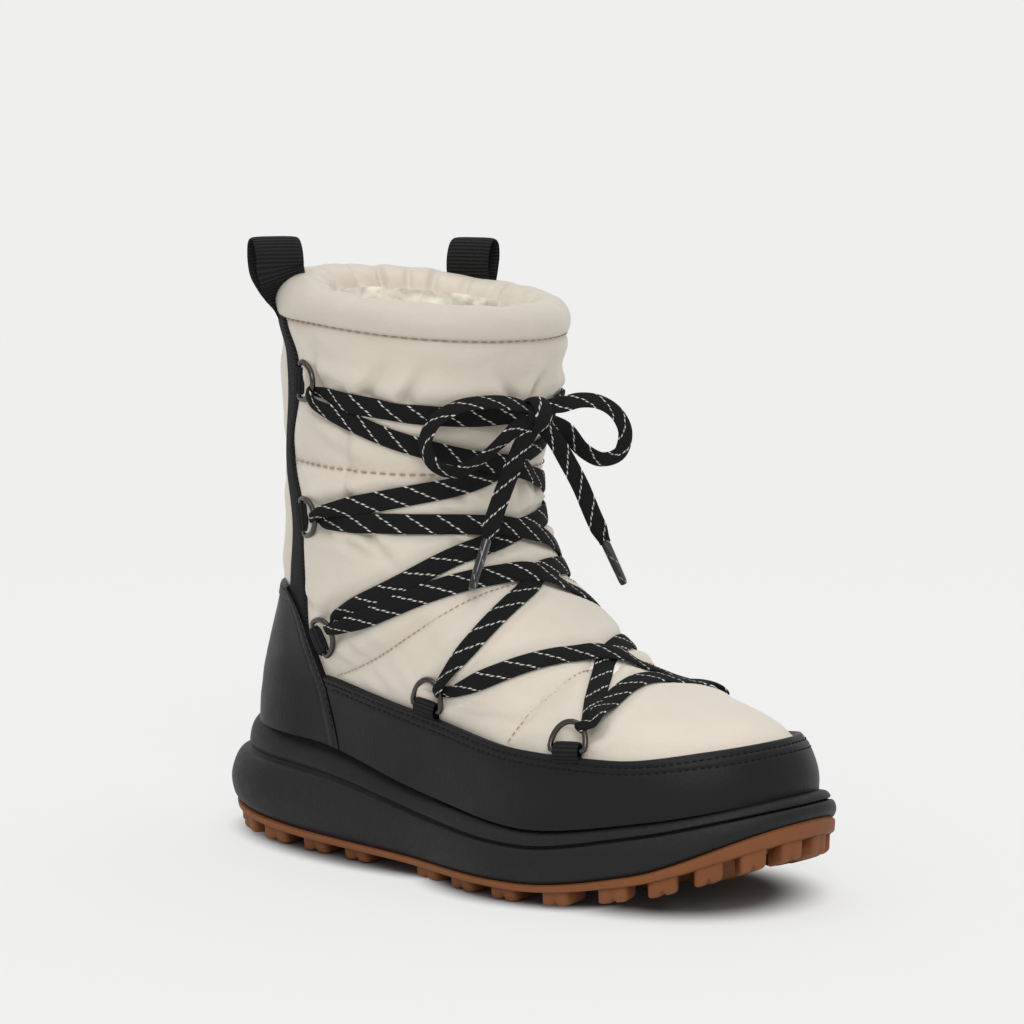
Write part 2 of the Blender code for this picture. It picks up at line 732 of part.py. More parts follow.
def build_tab(name, number, side):
    at, out, reach, bar = ring_seat(number, side)
    radius = RING_WIRE + GAP + TAB_THICK / 2
    bend = np.radians([-90, -45, 0, 45, 90])
    nose = np.array([[radius * math.cos(a), radius * math.sin(a)] for a in bend])
    local = np.concatenate([[[-TAB_LEG, -radius]], nose, [[-TAB_LEG, radius]]])
    path = at + out * bar_height() + local[:, :1] * reach + local[:, 1:] * out
    along = unit(np.gradient(path, axis=0))
    return band(name, path, np.cross(along, bar), TAB_WIDTH, TAB_THICK, "webbing")


def lace_start(number, side, share):
    """Where a run leaves a ring: clear of its bow, one run beside the other."""
    at, out, reach, bar = ring_seat(number, side)
    return at + reach * (RING_REACH + RING_WIRE + 3.0) + out * 2.0 + bar * share


def run_path(tree, run):
    """A run laid over the upper from a right ring to a left ring."""
    first = lace_start(run.right, 1, LACE_SPREAD if run.left < run.right else -LACE_SPREAD)
    last = lace_start(run.left, -1, -LACE_SPREAD if run.right < run.left else LACE_SPREAD)
    middle = np.array([run.x, float(swing(np.float64(run.x))), run.z])
    s = np.linspace(0, 1, LACE_STEPS)[:, None]
    guide = first * (1 - s) * (1 - 2 * s) + middle * 4 * s * (1 - s) + last * s * (2 * s - 1)
    straight = np.interp(s[:, 0], [0, 0.5, 1], [first[2], middle[2], last[2]])
    guide[:, 2] = 0.3 * guide[:, 2] + 0.7 * straight
    return laid(tree, guide)


def laid(tree, guide):
    """Moves a guide onto the upper's face, just clear of it over the band's whole width."""
    hits = [tree.find_nearest(Vector(p)) for p in guide]
    path = np.array([hit[0] for hit in hits])
    out = unit(np.array([hit[1] for hit in hits]))
    for _ in range(2):
        out[1:-1] = unit(out[:-2] + 2 * out[1:-1] + out[2:])
        path[1:-1] = (path[:-2] + 2 * path[1:-1] + path[2:]) / 4
    along = unit(np.gradient(path, axis=0))
    wide = unit(np.cross(along, out))
    halves = np.concatenate([path[:1], (path[:-1] + path[1:]) / 2, path[-1:]])
    rise = np.full(len(path), -9.0)
    for i, middle in enumerate(path):
        for point in (halves[i], middle, halves[i + 1]):
            for off in (-0.5, -0.25, 0.0, 0.25, 0.5):
                probe = Vector(point + wide[i] * off * LACE_WIDTH)
                hit = tree.ray_cast(probe + Vector(out[i]) * 15, Vector(-out[i]))
                rise[i] = max(rise[i], 15 - hit[3] if hit[0] else -9.0)
    return path + out * (rise + LACE_LIFT + LACE_THICK / 2)[:, None], out


def top_path(tree, side):
    """The last run, from the top ring to the knot."""
    first = lace_start(1, side, side * LACE_SPREAD)
    last = np.array(KNOT_AT) + np.array([0.0, -side * (KNOT_SIZE[1] / 2 + 1.0), -1.0])
    s = np.linspace(0, 1, 10)[:, None]
    guide = first * (1 - s) + last * s + np.array([14.0, -side * 6.0, 0.0]) * 4 * s * (1 - s)
    return laid(tree, guide)


def build_lace(tree):
    for name, runs in RUNS.items():
        made = [band(name, *run_path(tree, run), LACE_WIDTH, LACE_THICK, "cord") for run in runs]
        if len(made) > 1:
            joined(*made)
    for side, hand in ((1, "right"), (-1, "left")):
        band(f"lace_top_{hand}", *top_path(tree, side), LACE_WIDTH, LACE_THICK, "cord")


def build_bow():
    bm = bmesh.new()
    bmesh.ops.create_icosphere(bm, subdivisions=2, radius=0.5)
    for vert in bm.verts:
        vert.co = Vector([c * s for c, s in zip(vert.co, KNOT_SIZE)]) + Vector(KNOT_AT)
    finish("lace_knot", bm, "cord")
    for name, points in BOW.items():
        path = np.array(points)
        along = unit(np.gradient(path, axis=0))
        out = np.cross(along, np.broadcast_to([0.35, 0.0, 1.0], path.shape)) if "end" in name else None
        if out is None:
            centre = path.mean(axis=0)
            out = path - centre
        band(name, path, out, LACE_WIDTH * 0.9, LACE_THICK, "cord")
    for name, end in ENDS.items():
        path = np.array(BOW[end])
        ahead = unit(path[-1] - path[-2])
        first = path[-1] + ahead * 0.5
        bm = bmesh.new()
        bmesh.ops.create_cone(bm, cap_ends=True, segments=8, radius1=TIP_RADIUS, radius2=TIP_RADIUS * 0.8,
                              depth=TIP_LENGTH)
        turn = Vector((0, 0, 1)).rotation_difference(Vector(ahead)).to_matrix()
        for vert in bm.verts:
            vert.co = turn @ vert.co + Vector(first + ahead * TIP_LENGTH / 2)
        finish(name, bm, "tip")


def main():
    for body in list(bpy.data.objects):
        bpy.data.objects.remove(body)
    build_outsole()
    sole_slab("midsole", MIDSOLE_SIDE, "black_rubber", GAP, 0.0)
    build_insole()
    tree = build_upper()[1]
    build_guard()
    build_counter()
    for side, hand in ((1, "right"), (-1, "left")):
        build_strip(f"lace_strip_{hand}", side)
        build_loop(f"pull_loop_{hand}", side)
        for number in range(1, len(RINGS) + 1):
            build_ring(f"d_ring_{hand}_{number}", number, side)
            build_tab(f"ring_tab_{hand}_{number}", number, side)
    build_lace(tree)
    build_bow()


if __name__ == "__main__":
    main()
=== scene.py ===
"""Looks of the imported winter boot: quilted nylon, leather, webbing, wire rings, tied lace and sole.

The tables are in millimetres in the design frame of the part's source, and to_row() takes points
from there to the row frame in metres.
"""
import functools
import math
from collections import namedtuple

import bmesh
import bpy
import numpy as np
from bpy.props import FloatProperty, FloatVectorProperty, PointerProperty
from mathutils import Matrix, Vector, kdtree, noise
from mathutils.bvhtree import BVHTree


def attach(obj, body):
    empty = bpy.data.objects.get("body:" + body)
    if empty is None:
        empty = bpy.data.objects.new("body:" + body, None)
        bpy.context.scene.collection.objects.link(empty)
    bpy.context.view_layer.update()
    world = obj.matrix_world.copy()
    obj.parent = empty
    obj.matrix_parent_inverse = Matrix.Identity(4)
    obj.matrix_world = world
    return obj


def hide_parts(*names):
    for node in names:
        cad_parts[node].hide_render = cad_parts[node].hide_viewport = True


bl_info = {
    "name": "Winter boot looks",
    "version": (1, 0, 0),
    "blender": (4, 5, 0),
    "location": "3D View > Sidebar > Boot",
    "description": "Dresses the packed winter boot with its cloth, leather, lace and sole",
    "category": "Object",
}

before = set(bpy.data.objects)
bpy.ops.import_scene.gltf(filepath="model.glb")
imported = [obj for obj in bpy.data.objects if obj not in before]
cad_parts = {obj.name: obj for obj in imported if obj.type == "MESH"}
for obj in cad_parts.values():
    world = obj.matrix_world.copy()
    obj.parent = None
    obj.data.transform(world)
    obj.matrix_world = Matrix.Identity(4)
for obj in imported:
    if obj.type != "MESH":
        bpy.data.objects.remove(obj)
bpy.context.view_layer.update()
BODY = "root"
SIDES = ((1, "right"), (-1, "left"))

# Metres in a millimetre, a small turn in radians, and the middle of the part's box in the design frame.
MM = 0.001
TINY = 1e-3
MIDDLE_Y = 2.201

# Sizes of the boot, after the part's source and fitted to the photo

SEWN = 1.0
HEEL_X = -145.0
TOE_X = 145.0
HEEL_ROUND = 51.0
TOE_ROUND = 87.0
HEEL_POWER = 2.1
TOE_POWER = 2.2
TOE_SWING = 10.6
SWING_FROM = -20.0
WALL = 6.0
INSOLE_THICK = 4.0
MIDSOLE_GROOVE = 1.9
GAP = 0.3

ROLL_RADIUS = 10.0
ROLL_X = -50.5
ROLL_Z = 219.7
ROLL_SLOPE = 0.1
ROLL_SWELL = 1.6
SWELL_RUN = 45.0
ROLL_BULGE = 4.5
ROLL_DROP = 3.4
ROLL_ARC = (-18.0, 205.0)
FLARE = 2.4
FLARE_RUN = 16.0
LOOP_DROP = 5.0

GUARD_THICK = 1.7
COUNTER_THICK = 2.3
COUNTER_TOP = 107.0
STRIP_WIDTH = 20.0
STRIP_THICK = 1.5
STRIP_FOOT = 100.0
SHAFT_TURN = 6.0

RING_HALF = 7.6
RING_REACH = 11.3
RING_WIRE = 1.12
RING_TILT = 3.0
TAB_WIDTH = 11.0
TAB_THICK = 1.0
TAB_LEG = 3.4

LACE_WIDTH = 8.0
LACE_THICK = 1.5
KNOT_AT = (12.5, 0.0, 181.0)
TIP_LENGTH = 20.0
TIP_RADIUS = 1.9
TIP_LAP = 1.5

LUG_TIP = 0.95
LUG_SPREAD = 0.22
LUG_NOTCH = 0.2
LUG_INNER = 0.78
LUG_ROOT = 1.6
LUG_SOFT = 0.17
TREAD_INSET = 2.4
HEEL_TUCK = 2.0

# Heights along the sole: foot of the lugs, base and border of the outsole, groove and top of the midsole.
Sole = namedtuple("Sole", "x lug base border groove feather")
SOLE = (
    Sole(-145, 3.0, 11.2, 14.7, 36.0, 48.1),
    Sole(-70, 0.0, 5.3, 8.4, 33.3, 45.3),
    Sole(0, 0.0, 4.8, 7.5, 24.3, 32.5),
    Sole(50, 0.0, 5.2, 8.1, 22.2, 27.8),
    Sole(100, 6.3, 12.3, 16.0, 30.4, 35.1),
    Sole(145, 22.4, 29.6, 36.3, 42.1, 46.1),
)

# Half widths of the sole on the boot's right and left.
Plan = namedtuple("Plan", "x right left")
PLAN = (
    Plan(-145, 44.0, 44.0),
    Plan(-95, 45.0, 45.0),
    Plan(-20, 48.0, 46.5),
    Plan(45, 59.4, 56.4),
    Plan(145, 55.2, 52.5),
)

# Side profiles of the sole: inset, more of it at the heel, more of it with the band's height, the two heights
# of SOLE that the band lies between, and the share of the way from the lower one up.
Side = namedtuple("Side", "inset heel lean low high share")
MIDSOLE_SIDE = (
    Side(2.2, 2.2, 0.0, "border", "groove", 0.0),
    Side(0.5, 0.6, 0.0, "border", "groove", 0.14),
    Side(0.0, 0.0, 0.0, "border", "groove", 0.42),
    Side(0.7, 1.4, 0.0, "border", "groove", 0.78),
    Side(1.8, 3.0, 0.0, "border", "groove", 0.94),
    Side(1.8 + MIDSOLE_GROOVE, 4.6, 0.0, "border", "groove", 1.0),
    Side(2.0, 5.2, 0.05, "groove", "feather", 0.2),
    Side(2.0, 3.8, 0.22, "groove", "feather", 0.55),
    Side(2.4, 2.0, 0.46, "groove", "feather", 0.85),
    Side(3.4, 0.0, 0.66, "groove", "feather", 1.0),
)
OUTSOLE_SIDE = (
    Side(3.0, 2.2, 0.0, "base", "border", 0.0),
    Side(0.6, 2.2, 0.0, "base", "border", 0.15),
    Side(0.4, 2.0, 0.0, "base", "border", 0.75),
    Side(1.6, 2.0, 0.0, "base", "border", 1.0),
)

# Level sections of the upper's plain form: its ends, half widths at the heel, waist and ball, lengths of the
# two rounded ends, power of the toe's curve, and the left half's share of the width.
Section = namedtuple("Section", "z heel toe heel_w waist_w ball_w heel_r toe_r toe_p inner")
SECTIONS = (
    Section(22, -124.0, 131.0, 38.0, 42.0, 51.0, 44, 80, 2.2, 0.95),
    Section(46, -126.0, 134.0, 39.0, 43.5, 51.5, 45, 78, 2.2, 0.95),
    Section(57, -125.5, 131.0, 39.0, 44.0, 50.0, 45, 78, 2.2, 0.95),
    Section(64, -124.5, 124.2, 39.0, 44.5, 47.5, 46, 80, 2.15, 0.96),
    Section(69, -124.0, 112.0, 39.0, 44.5, 45.0, 47, 82, 2.1, 0.97),
    Section(76, -122.0, 79.0, 39.5, 45.0, 44.5, 48, 80, 2.0, 0.98),
    Section(84, -119.5, 58.0, 40.5, 46.0, 45.5, 51, 72, 1.95, 0.99),
    Section(102, -113.5, 32.5, 43.0, 47.5, 46.5, 57, 64, 1.85, 1.0),
    Section(119, -108.7, 11.2, 46.0, 49.0, 48.5, 59, 58, 1.85, 1.0),
    Section(139, -104.3, -1.2, 49.0, 50.5, 50.0, 54, 54, 1.9, 1.0),
    Section(160, -104.5, -2.0, 50.5, 51.0, 51.0, 52, 52, 2.0, 1.0),
    Section(182, -104.0, 2.5, 50.5, 51.0, 51.0, 53, 53, 2.1, 1.0),
    Section(206, -105.0, 6.0, 51.0, 51.5, 51.5, 55, 55, 2.15, 1.0),
    Section(236, -107.0, 9.0, 52.0, 52.5, 52.5, 58, 58, 2.15, 1.0),
)
# Where rows of the quilted face lie, as shares of the way from the sole up to the collar roll.
OUTER_SHARES = (
    0, .05, .09, .12, .145, .165, .185, .21, .24, .28, .34, .42, .50, .58, .66, .74, .82, .91, 1,
)

# Quilt seams in the side view: a point at the front, slope, how far the line sags and over what length,
# the puff of the panel above it, and the size of its stitches.
Seam = namedtuple("Seam", "x z slope sag span puff stitch")
SEAMS = (
    Seam(53.0, 88.0, 62.0, 3.5, 30.0, 3.0, 0.62),
    Seam(17.0, 120.0, 32.0, 5.2, 72.0, 3.4, 0.62),
    Seam(0.0, 157.3, -2.7, 0.0, 100.0, 2.8, 0.95),
    Seam(ROLL_X, ROLL_Z - ROLL_DROP, -5.71, 1.6, 90.0, 0.0, 0.95),
)
TOE_PUFF = 2.2

# Upper edge of the mudguard and front edge of the heel counter in the side view.
Edge = namedtuple("Edge", "x z")
GUARD_TOP = (
    Edge(-145, 76.0),
    Edge(-65, 74.0),
    Edge(-35, 70.0),
    Edge(0, 64.7),
    Edge(50, 58.4),
    Edge(90, 57.9),
    Edge(120, 61.2),
    Edge(145, 65.8),
)
COUNTER_FRONT = (
    Edge(-54.0, 36.0),
    Edge(-55.5, 46.0),
    Edge(-63.0, 70.0),
    Edge(-71.5, 92.0),
    Edge(-80.0, 102.0),
    Edge(-92.0, 108.0),
    Edge(-100.0, 110.0),
)

# Where the strip runs up the shaft, in degrees round from the toe.
Strip = namedtuple("Strip", "z angle")
STRIP = (Strip(90, 119.0), Strip(140, 114.0), Strip(190, 116.0), Strip(214, 118.0))

# The pull loop, out from the wall and up from the crease under the collar roll.
Hoop = namedtuple("Hoop", "out up")
LOOP = (
    Hoop(1.2, -2.6), Hoop(4.2, 1.2), Hoop(5.2, 5.0), Hoop(3.4, 10.0), Hoop(0.0, 15.0), Hoop(-0.8, 20.0),
    Hoop(0.4, 26.0), Hoop(3.6, 30.2), Hoop(7.4, 31.4), Hoop(10.6, 29.6), Hoop(11.6, 24.8), Hoop(9.8, 17.6),
    Hoop(6.8, 11.0), Hoop(5.2, 5.0), Hoop(4.0, 0.2), Hoop(2.2, -3.2),
)
LOOP_PIVOT = 5.0
# Turn of each pull loop about the upright, in degrees, at its root and at its top.
LOOP_TURN = {1: (-21.0, -74.0), -1: (0.0, -4.0)}
# How wide each loop stands open, how tall it is, how far behind the strip's middle and how far in it is sewn.
LOOP_OPEN = {1: 1.0, -1: 0.8}
LOOP_TALL = {1: 0.97, -1: 0.95}
LOOP_BACK = {1: 10.8, -1: -1.6}
LOOP_IN = 2.3

# Rings: bar on the side view, lean toward the toe, whether the ring sits on the strip, how far round its bow
# the lace has slid, and how far the left ring is moved along the boot.
Ring = namedtuple("Ring", "x z lean on_strip slide left")
RINGS = (
    Ring(0.0, 194.0, 97.0, True, -24.0, 0.0),
    Ring(0.0, 139.0, 85.0, True, 0.0, 0.0),
    Ring(-60.8, 89.5, 62.0, False, 8.0, 0.0),
    Ring(-1.6, 68.2, 8.0, False, -48.0, 0.0),
    Ring(71.5, 59.6, -4.0, False, -38.0, -9.0),
)
RING_NUMBERS = range(1, len(RINGS) + 1)

# The lace from the knot and back to it, run by run: right ring, left ring, where the run meets the
# middle plane, whether it starts on the right, whether it lies over its crossing partner, and the dip of
# its right half.
Run = namedtuple("Run", "right left x z from_right over dip")
RUNS = (
    Run(1, 2, 2.0, 160.0, True, True, 4.0),
    Run(3, 2, 5.0, 136.0, False, False, -2.8),
    Run(3, 4, 16.5, 121.0, True, True, -2.0),
    Run(5, 4, 49.5, 90.0, False, False, -1.7),
    Run(5, 5, 66.5, 83.0, True, False, 0.0),
    Run(4, 5, 49.5, 90.0, False, True, 1.5),
    Run(4, 3, 16.5, 121.0, True, False, -10.0),
    Run(2, 3, 5.0, 136.8, False, True, 0.4),
    Run(2, 1, 2.0, 160.0, True, False, -1.5),
)

# Middle lines of the tied bow.
BOW = {
    "right": (
        (11.5, -10.5, 186.0), (9.2, -22.5, 187.5), (2.4, -35.5, 185.5), (-3.2, -42.5, 179.0),
        (-5.0, -44.5, 171.0), (-2.2, -41.5, 163.0), (2.9, -34.8, 160.6), (7.5, -26.7, 165.0),
        (10.9, -17.7, 172.0), (12.0, -10.5, 176.5),
    ),
    "left": (
        (15.5, 10.5, 186.0), (18.4, 18.9, 187.5), (21.6, 28.8, 186.0), (24.1, 37.8, 180.0),
        (25.1, 42.0, 171.8), (24.4, 39.2, 162.8), (21.9, 30.1, 160.3), (19.2, 20.1, 165.0),
        (16.5, 10.5, 175.0),
    ),
}
BOW_END = {
    "right": (
        (13.4, -7.2, 172.0), (12.6, -11.6, 164.0), (11.8, -17.4, 153.0), (11.4, -22.4, 143.0),
        (11.2, -27.0, 133.0),
    ),
    "left": (
        (18.2, 6.0, 170.5), (19.5, 10.8, 163.0), (21.0, 17.2, 152.5), (22.5, 23.2, 140.0),
        (23.9, 29.2, 128.5),
    ),
}

# Lugs along the edge: place along the outline from the toe, length across the edge, width along it.
Tread = namedtuple("Tread", "along length width")
TREAD = (
    Tread(9, 11, 11.0), Tread(27, 11, 11.0), Tread(45, 12, 11.5), Tread(63, 13, 12.0), Tread(83, 16, 12.5),
    Tread(108, 18, 12.5), Tread(133, 20, 12.5), Tread(158, 20, 12.5), Tread(182, 19, 12.5),
    Tread(225, 18, 12.5), Tread(250, 18, 12.5), Tread(275, 16, 12.5), Tread(299, 13, 12.0),
    Tread(324, 12, 12.0),
)
Lug = namedtuple("Lug", "x y length width turn notched")
MIDDLE_LUGS = tuple(Lug(x, y, length, width, 0, False) for x, y, length, width in (
    (-112, 0, 15, 18), (-86, 0, 14, 24), (-58, 0, 14, 26), (-30, 0, 14, 28), (-2, 0, 14, 30),
    (26, 0, 15, 36), (54, 1, 15, 40), (80, 3, 14, 38), (104, 5, 13, 30),
))

# Creases of the padding, each a soft trough from one angle and height to another.
Crease = namedtuple("Crease", "turn z to_turn to_z width depth")
CREASES = (
    Crease(70, 190, 61, 204, 4.0, 2.2), Crease(52, 189, 44, 201, 4.0, 2.0),
    Crease(5, 187, 13, 197, 3.5, 1.5), Crease(-6, 188, -15, 198, 3.5, 1.4),
    Crease(98, 192, 99, 207, 4.0, 1.2), Crease(79, 181, 78, 147, 4.5, 1.6),
    Crease(77, 148, 75, 138, 4.0, 1.4), Crease(29, 151, 18, 142, 3.5, 1.4),
    Crease(-9, 152, -3, 139, 3.5, 1.2), Crease(69, 133, 62, 120, 4.0, 1.8),
    Crease(80, 130, 66, 123, 4.0, 1.4), Crease(116, 104, 103, 100, 4.0, 1.4),
    Crease(34, 131, 26, 123, 3.5, 1.4), Crease(60, 112, 50, 114, 4.0, 1.0),
    Crease(-66, 190, -58, 204, 4.0, 2.0), Crease(-48, 189, -38, 200, 4.0, 1.8),
    Crease(-82, 180, -80, 150, 4.5, 1.6), Crease(-98, 192, -99, 207, 4.0, 1.2),
    Crease(-30, 151, -20, 142, 3.5, 1.4), Crease(-70, 133, -64, 121, 4.0, 1.6),
    Crease(-114, 104, -102, 100, 4.0, 1.4), Crease(-60, 112, -48, 115, 4.0, 1.0),
    Crease(150, 196, 146, 176, 5.0, 1.2), Crease(-152, 172, -148, 190, 5.0, 1.2),
    Crease(178, 150, 171, 132, 5.0, 1.2),
)

# Gathers on the inner face of the collar roll.
Pleat = namedtuple("Pleat", "turn depth")
PLEATS = (
    Pleat(8, 1.2), Pleat(31, 1.6), Pleat(52, 1.3), Pleat(77, 1.8), Pleat(99, 1.3), Pleat(121, 1.7),
    Pleat(143, 1.4), Pleat(163, 2.1), Pleat(185, 1.7), Pleat(203, 2.3), Pleat(221, 1.6), Pleat(236, 2.0),
    Pleat(254, 1.6), Pleat(275, 2.2), Pleat(296, 1.5), Pleat(318, 1.9), Pleat(341, 1.4),
)

# Sizes and counts that only the looks use, in millimetres where nothing else is said

UPPER_COLUMNS = 380
OUTER_ROWS = 186
ROLL_ROWS = 44
BACK_ROWS = 14
LINING_COLUMNS = 300
LINING_BACK_ROWS = 12
STRIP_STEPS = 150
RUN_STEPS = 44
STATION = 1.1
# Angle in degrees from which an edge is shaded sharp.
SHARP = 50.0
# First guess of a height that is then found in a few rounds, and a point inside the boot.
GUESS_Z = 60.0
INSIDE = (-30.0, 0.0, 60.0)

PUFF_FADE = 12.0
STRIP_LAP = 1.2
LAP_WAVE = 16.0
STRIP_WAIST = 7.0
STRIP_NIP = 5.0
NIP_FROM = 108.0
NIP_RUN = 14.0
SEAM_DEPTH = 0.6
SEAM_WIDE = 1.4
SEAM_SOFT = 1.3
PUCKER = 0.8
PUCKER_REACH = 7.0
PUCKER_PITCH = 7.0
# How much flatter the quilt is along the front, the width of that stretch as a sine of half an angle, and
# the height from which it flattens.
FRONT_FLAT = 0.55
FRONT_WIDE = 0.28
FRONT_FROM = 68.0
FRONT_RUN = 25.0
# Height and size of the soft lumps of the padding.
LUMPS = ((0.5, 24.0), (0.2, 9.0))
# Creases: millimetres for a degree round the shaft, width of the trough, and the ridge beside it.
CREASE_SCALE = (0.9, 1.0)
CREASE_SPREAD = 0.62
RIDGE = 0.55
RIDGE_AWAY = 1.9
RIDGE_WIDE = 1.3
PLEAT_WIDE = 2.6

WALL_BACK = 3.5
LINING_DEPTH = 7.0
COLLAR_PILE = 17.7
# The collar roll on the upper's UV map, and its share of the cloth's colour: a painted shade that makes the
# roll darker than the rest of the cloth.
ROLL_MIDDLE = 0.81
ROLL_HALF = 0.06
ROLL_PAINTED_SHADE = 0.88

WRAP_RADIUS = RING_WIRE + LACE_THICK / 2
LACE_SINK = 1.0
LEAVE_AHEAD = 3.0
LEAVE_SPREAD = 2.4
TOP_SAG = (14.0, 6.0, -3.5)
CROSS_LIFT = 1.8
# The quilt's swell beside the lace, its distance and width, and how far the lace presses in.
BESIDE_SWELL = 1.1
BESIDE = 9.5
BESIDE_WIDE = 3.6
LACE_PRESS = 1.35
# Gathers round a ring, how far they reach, and the dimple under the ring.
GATHER = 0.5
GATHER_REACH = 9.0
DIMPLE = 0.9
DIMPLE_WIDE = 7.0
# The lace's width beside a ring and round its wire, as a share of its full width.
RING_NARROW = 0.56
WRAP_NARROW = 0.52
PROBE = 15.0

# Depth of the rows of stitches below the mudguard's edge and inside the counter's edge.
GUARD_ROWS = (2.2, 4.6)
COUNTER_ROWS = (1.5, 5.9)
COUNTER_ROW_LIFTS = (0.45, 0.05)
STITCH_LIFT = 0.85
STITCH_TOP = 223.0
STITCH_ROUND = 0.13

# Half sizes of the knot's wrap, half its width, and half sizes of the core that fills it.
KNOT_WRAP = (4.6, 0.0, 6.0)
KNOT_HALF = 5.0
KNOT_CORE = (5.0, 5.6, 6.4)
# How much each half of the bow turns its flat face to the camera, and how much its loop is drawn in.
BOW_FACE = {"right": 0.8, "left": 1.7}
BOW_SHRINK = {"right": 0.0, "left": 0.11}

# Stations round the section of a flat band, along its upper face and back, and its UV map across.
BAND_STATIONS = (-1.0, -0.93, -0.75, -0.4, 0.0, 0.4, 0.75, 0.93, 1.0)
BAND_TOP = len(BAND_STATIONS)
BAND_ROUND = np.array([*BAND_STATIONS, *BAND_STATIONS[-2:0:-1]])
BAND_UV = np.concatenate([(BAND_ROUND[:BAND_TOP] + 1) / 4, 0.5 + (1 - BAND_ROUND[BAND_TOP:]) / 4, [1.0]])
# A stretch of the braid's UV map without a fleck, and lengths in metres on the maps of strip and knot.
NO_FLECK = (0.008, 0.0)
STRIP_RUN = 0.11
KNOT_RUN = 0.036

CAMERA_AT = (954.1, -1035.1, 309.7)
CAMERA_TO = (0.0, 0.0, 141.6)
LENS = 125.26
# The paper in metres: how far it reaches in front, where it bends up behind, its bend, top and half width.
PAPER_FRONT = 4.0
PAPER_BACK = 1.6
PAPER_BEND = 1.2
PAPER_TOP = 6.0
PAPER_HALF = 5.0
# The paper's own light far from the boot, its share near the boot and its share in the painted shadow.
PAPER_LIGHT = (0.863, 0.863, 0.858)
PAPER_GLOW = 0.7
PAINTED_SHADOW_GLOW = 0.003
# Where the paper round the boot ends and how softly, in metres.
NEAR_PAPER = (0.9, 0.35)
# Painted shadow ovals on the paper under the sole and the lifted toe, where the paper's own light is turned
# down: middle and half sizes in metres, and how soft the edge is.
PaintedShadow = namedtuple("PaintedShadow", "at size soft")
PAINTED_SHADOWS = (
    PaintedShadow((-0.045, -0.002, 0.0), (0.095, 0.052, 1.0), 0.14),
    PaintedShadow((0.036, -0.002, 0.0), (0.062, 0.060, 1.0), 0.14),
    PaintedShadow((0.082, 0.005, 0.0), (0.049, 0.048, 1.0), 0.30),
)
# Broad soft lights: where each comes from, how wide it looks and how strong it is.
Lamp = namedtuple("Lamp", "name at spread power")
LAMPS = (
    Lamp("key", (0.72, -0.7, 0.8), 30.0, 1.0),
    Lamp("top", (-0.2, 0.0, 1.6), 60.0, 1.0),
)
# Strength of the even light from all round.
WORLD = 0.57


# Small tools

def column(table, name):
    return np.array([getattr(row, name) for row in table], float)


def hermite(u, step, at, slope, i):
    """Cubic from row i to row i + 1 that meets their values and slopes."""
    first = (1 + 2 * u) * (1 - u) ** 2 * at[i] + u * (1 - u) ** 2 * step * slope[i]
    second = u * u * (3 - 2 * u) * at[i + 1] - u * u * (1 - u) * step * slope[i + 1]
    return first + second


def smooth(xs, ys, where):
    """Cubic through the rows that does not overshoot."""
    step = np.diff(xs)
    rise = np.diff(ys) / step
    both = rise[:-1] * rise[1:]
    slope = np.zeros(len(xs))
    slope[1:-1] = np.where(both > 0, 2 * both / np.where(both > 0, rise[:-1] + rise[1:], 1), 0)
    slope[0], slope[-1] = rise[0], rise[-1]
    where = np.clip(where, xs[0], xs[-1])
    i = np.clip(np.searchsorted(xs, where, "right") - 1, 0, len(step) - 1)
    return hermite((where - xs[i]) / step[i], step[i], ys, slope, i)


def look(table, key, name, where):
    return smooth(column(table, key), column(table, name), np.asarray(where, float))


def ease(x):
    x = np.clip(x, 0.0, 1.0)
    return x * x * (3 - 2 * x)


def unit(v):
    return v / np.maximum(np.linalg.norm(v, axis=-1, keepdims=True), 1e-9)


def stack(*parts):
    return np.stack(np.broadcast_arrays(*parts), axis=-1)


def level(v):
    return unit(v * np.array([1.0, 1.0, 0.0]))


def folded(angle, full):
    """The same angle between minus and plus half of a full turn."""
    return (angle + full / 2) % full - full / 2


def to_row(points):
    """Takes points in millimetres from the design frame to the row frame in metres."""
    return (np.asarray(points) - np.array([0.0, MIDDLE_Y, 0.0])) * MM


def ripple(along, seed):
    """Smooth random waves along a line, one wave for each unit, between -1 and 1."""
    heights = np.random.default_rng(seed).uniform(-1, 1, 997)
    cell = np.floor(along).astype(int)
    return heights[cell % 997] + (heights[(cell + 1) % 997] - heights[cell % 997]) * ease(along - cell)


def cloud(points, size):
    """Soft noise at points, with lumps of about the given size."""
    return np.array([noise.noise(Vector(point)) for point in points / size])


def arc_length(path):
    return np.concatenate([[0.0], np.linalg.norm(np.diff(path, axis=0), axis=1).cumsum()])


def rounded(points, spacing):
    """A smooth curve through given points, with even stations."""
    points = np.asarray(points, float)
    knots = arc_length(points)
    slope = np.gradient(points, knots, axis=0)
    fine = np.linspace(0, knots[-1], 12 * len(points))
    i = np.clip(np.searchsorted(knots, fine, "right") - 1, 0, len(knots) - 2)
    step = (knots[i + 1] - knots[i])[:, None]
    u = (fine - knots[i])[:, None] / step
    curve = hermite(u, step, points, slope, i)
    run = arc_length(curve)
    even = np.linspace(0, run[-1], max(int(round(run[-1] / spacing)), 4) + 1)
    return resample(curve, run, even)


def resample(rows, run, even):
    """Rows known at the lengths run, read at the lengths even."""
    return np.stack([np.interp(even, run, axis) for axis in rows.T], axis=-1)


def soften(rows, rounds, settle=np.array):
    """Evens out rows along a line with its ends held; settle is done to each new row."""
    for _ in range(rounds):
        rows[1:-1] = settle((rows[:-2] + 2 * rows[1:-1] + rows[2:]) / 4)
    return rows


# Outline of the sole and sections of the upper

def swing(x):
    """How far the middle line bends to the boot's left toward the toe."""
    return TOE_SWING * np.clip((x - SWING_FROM) / (TOE_X - SWING_FROM), 0, None) ** 2


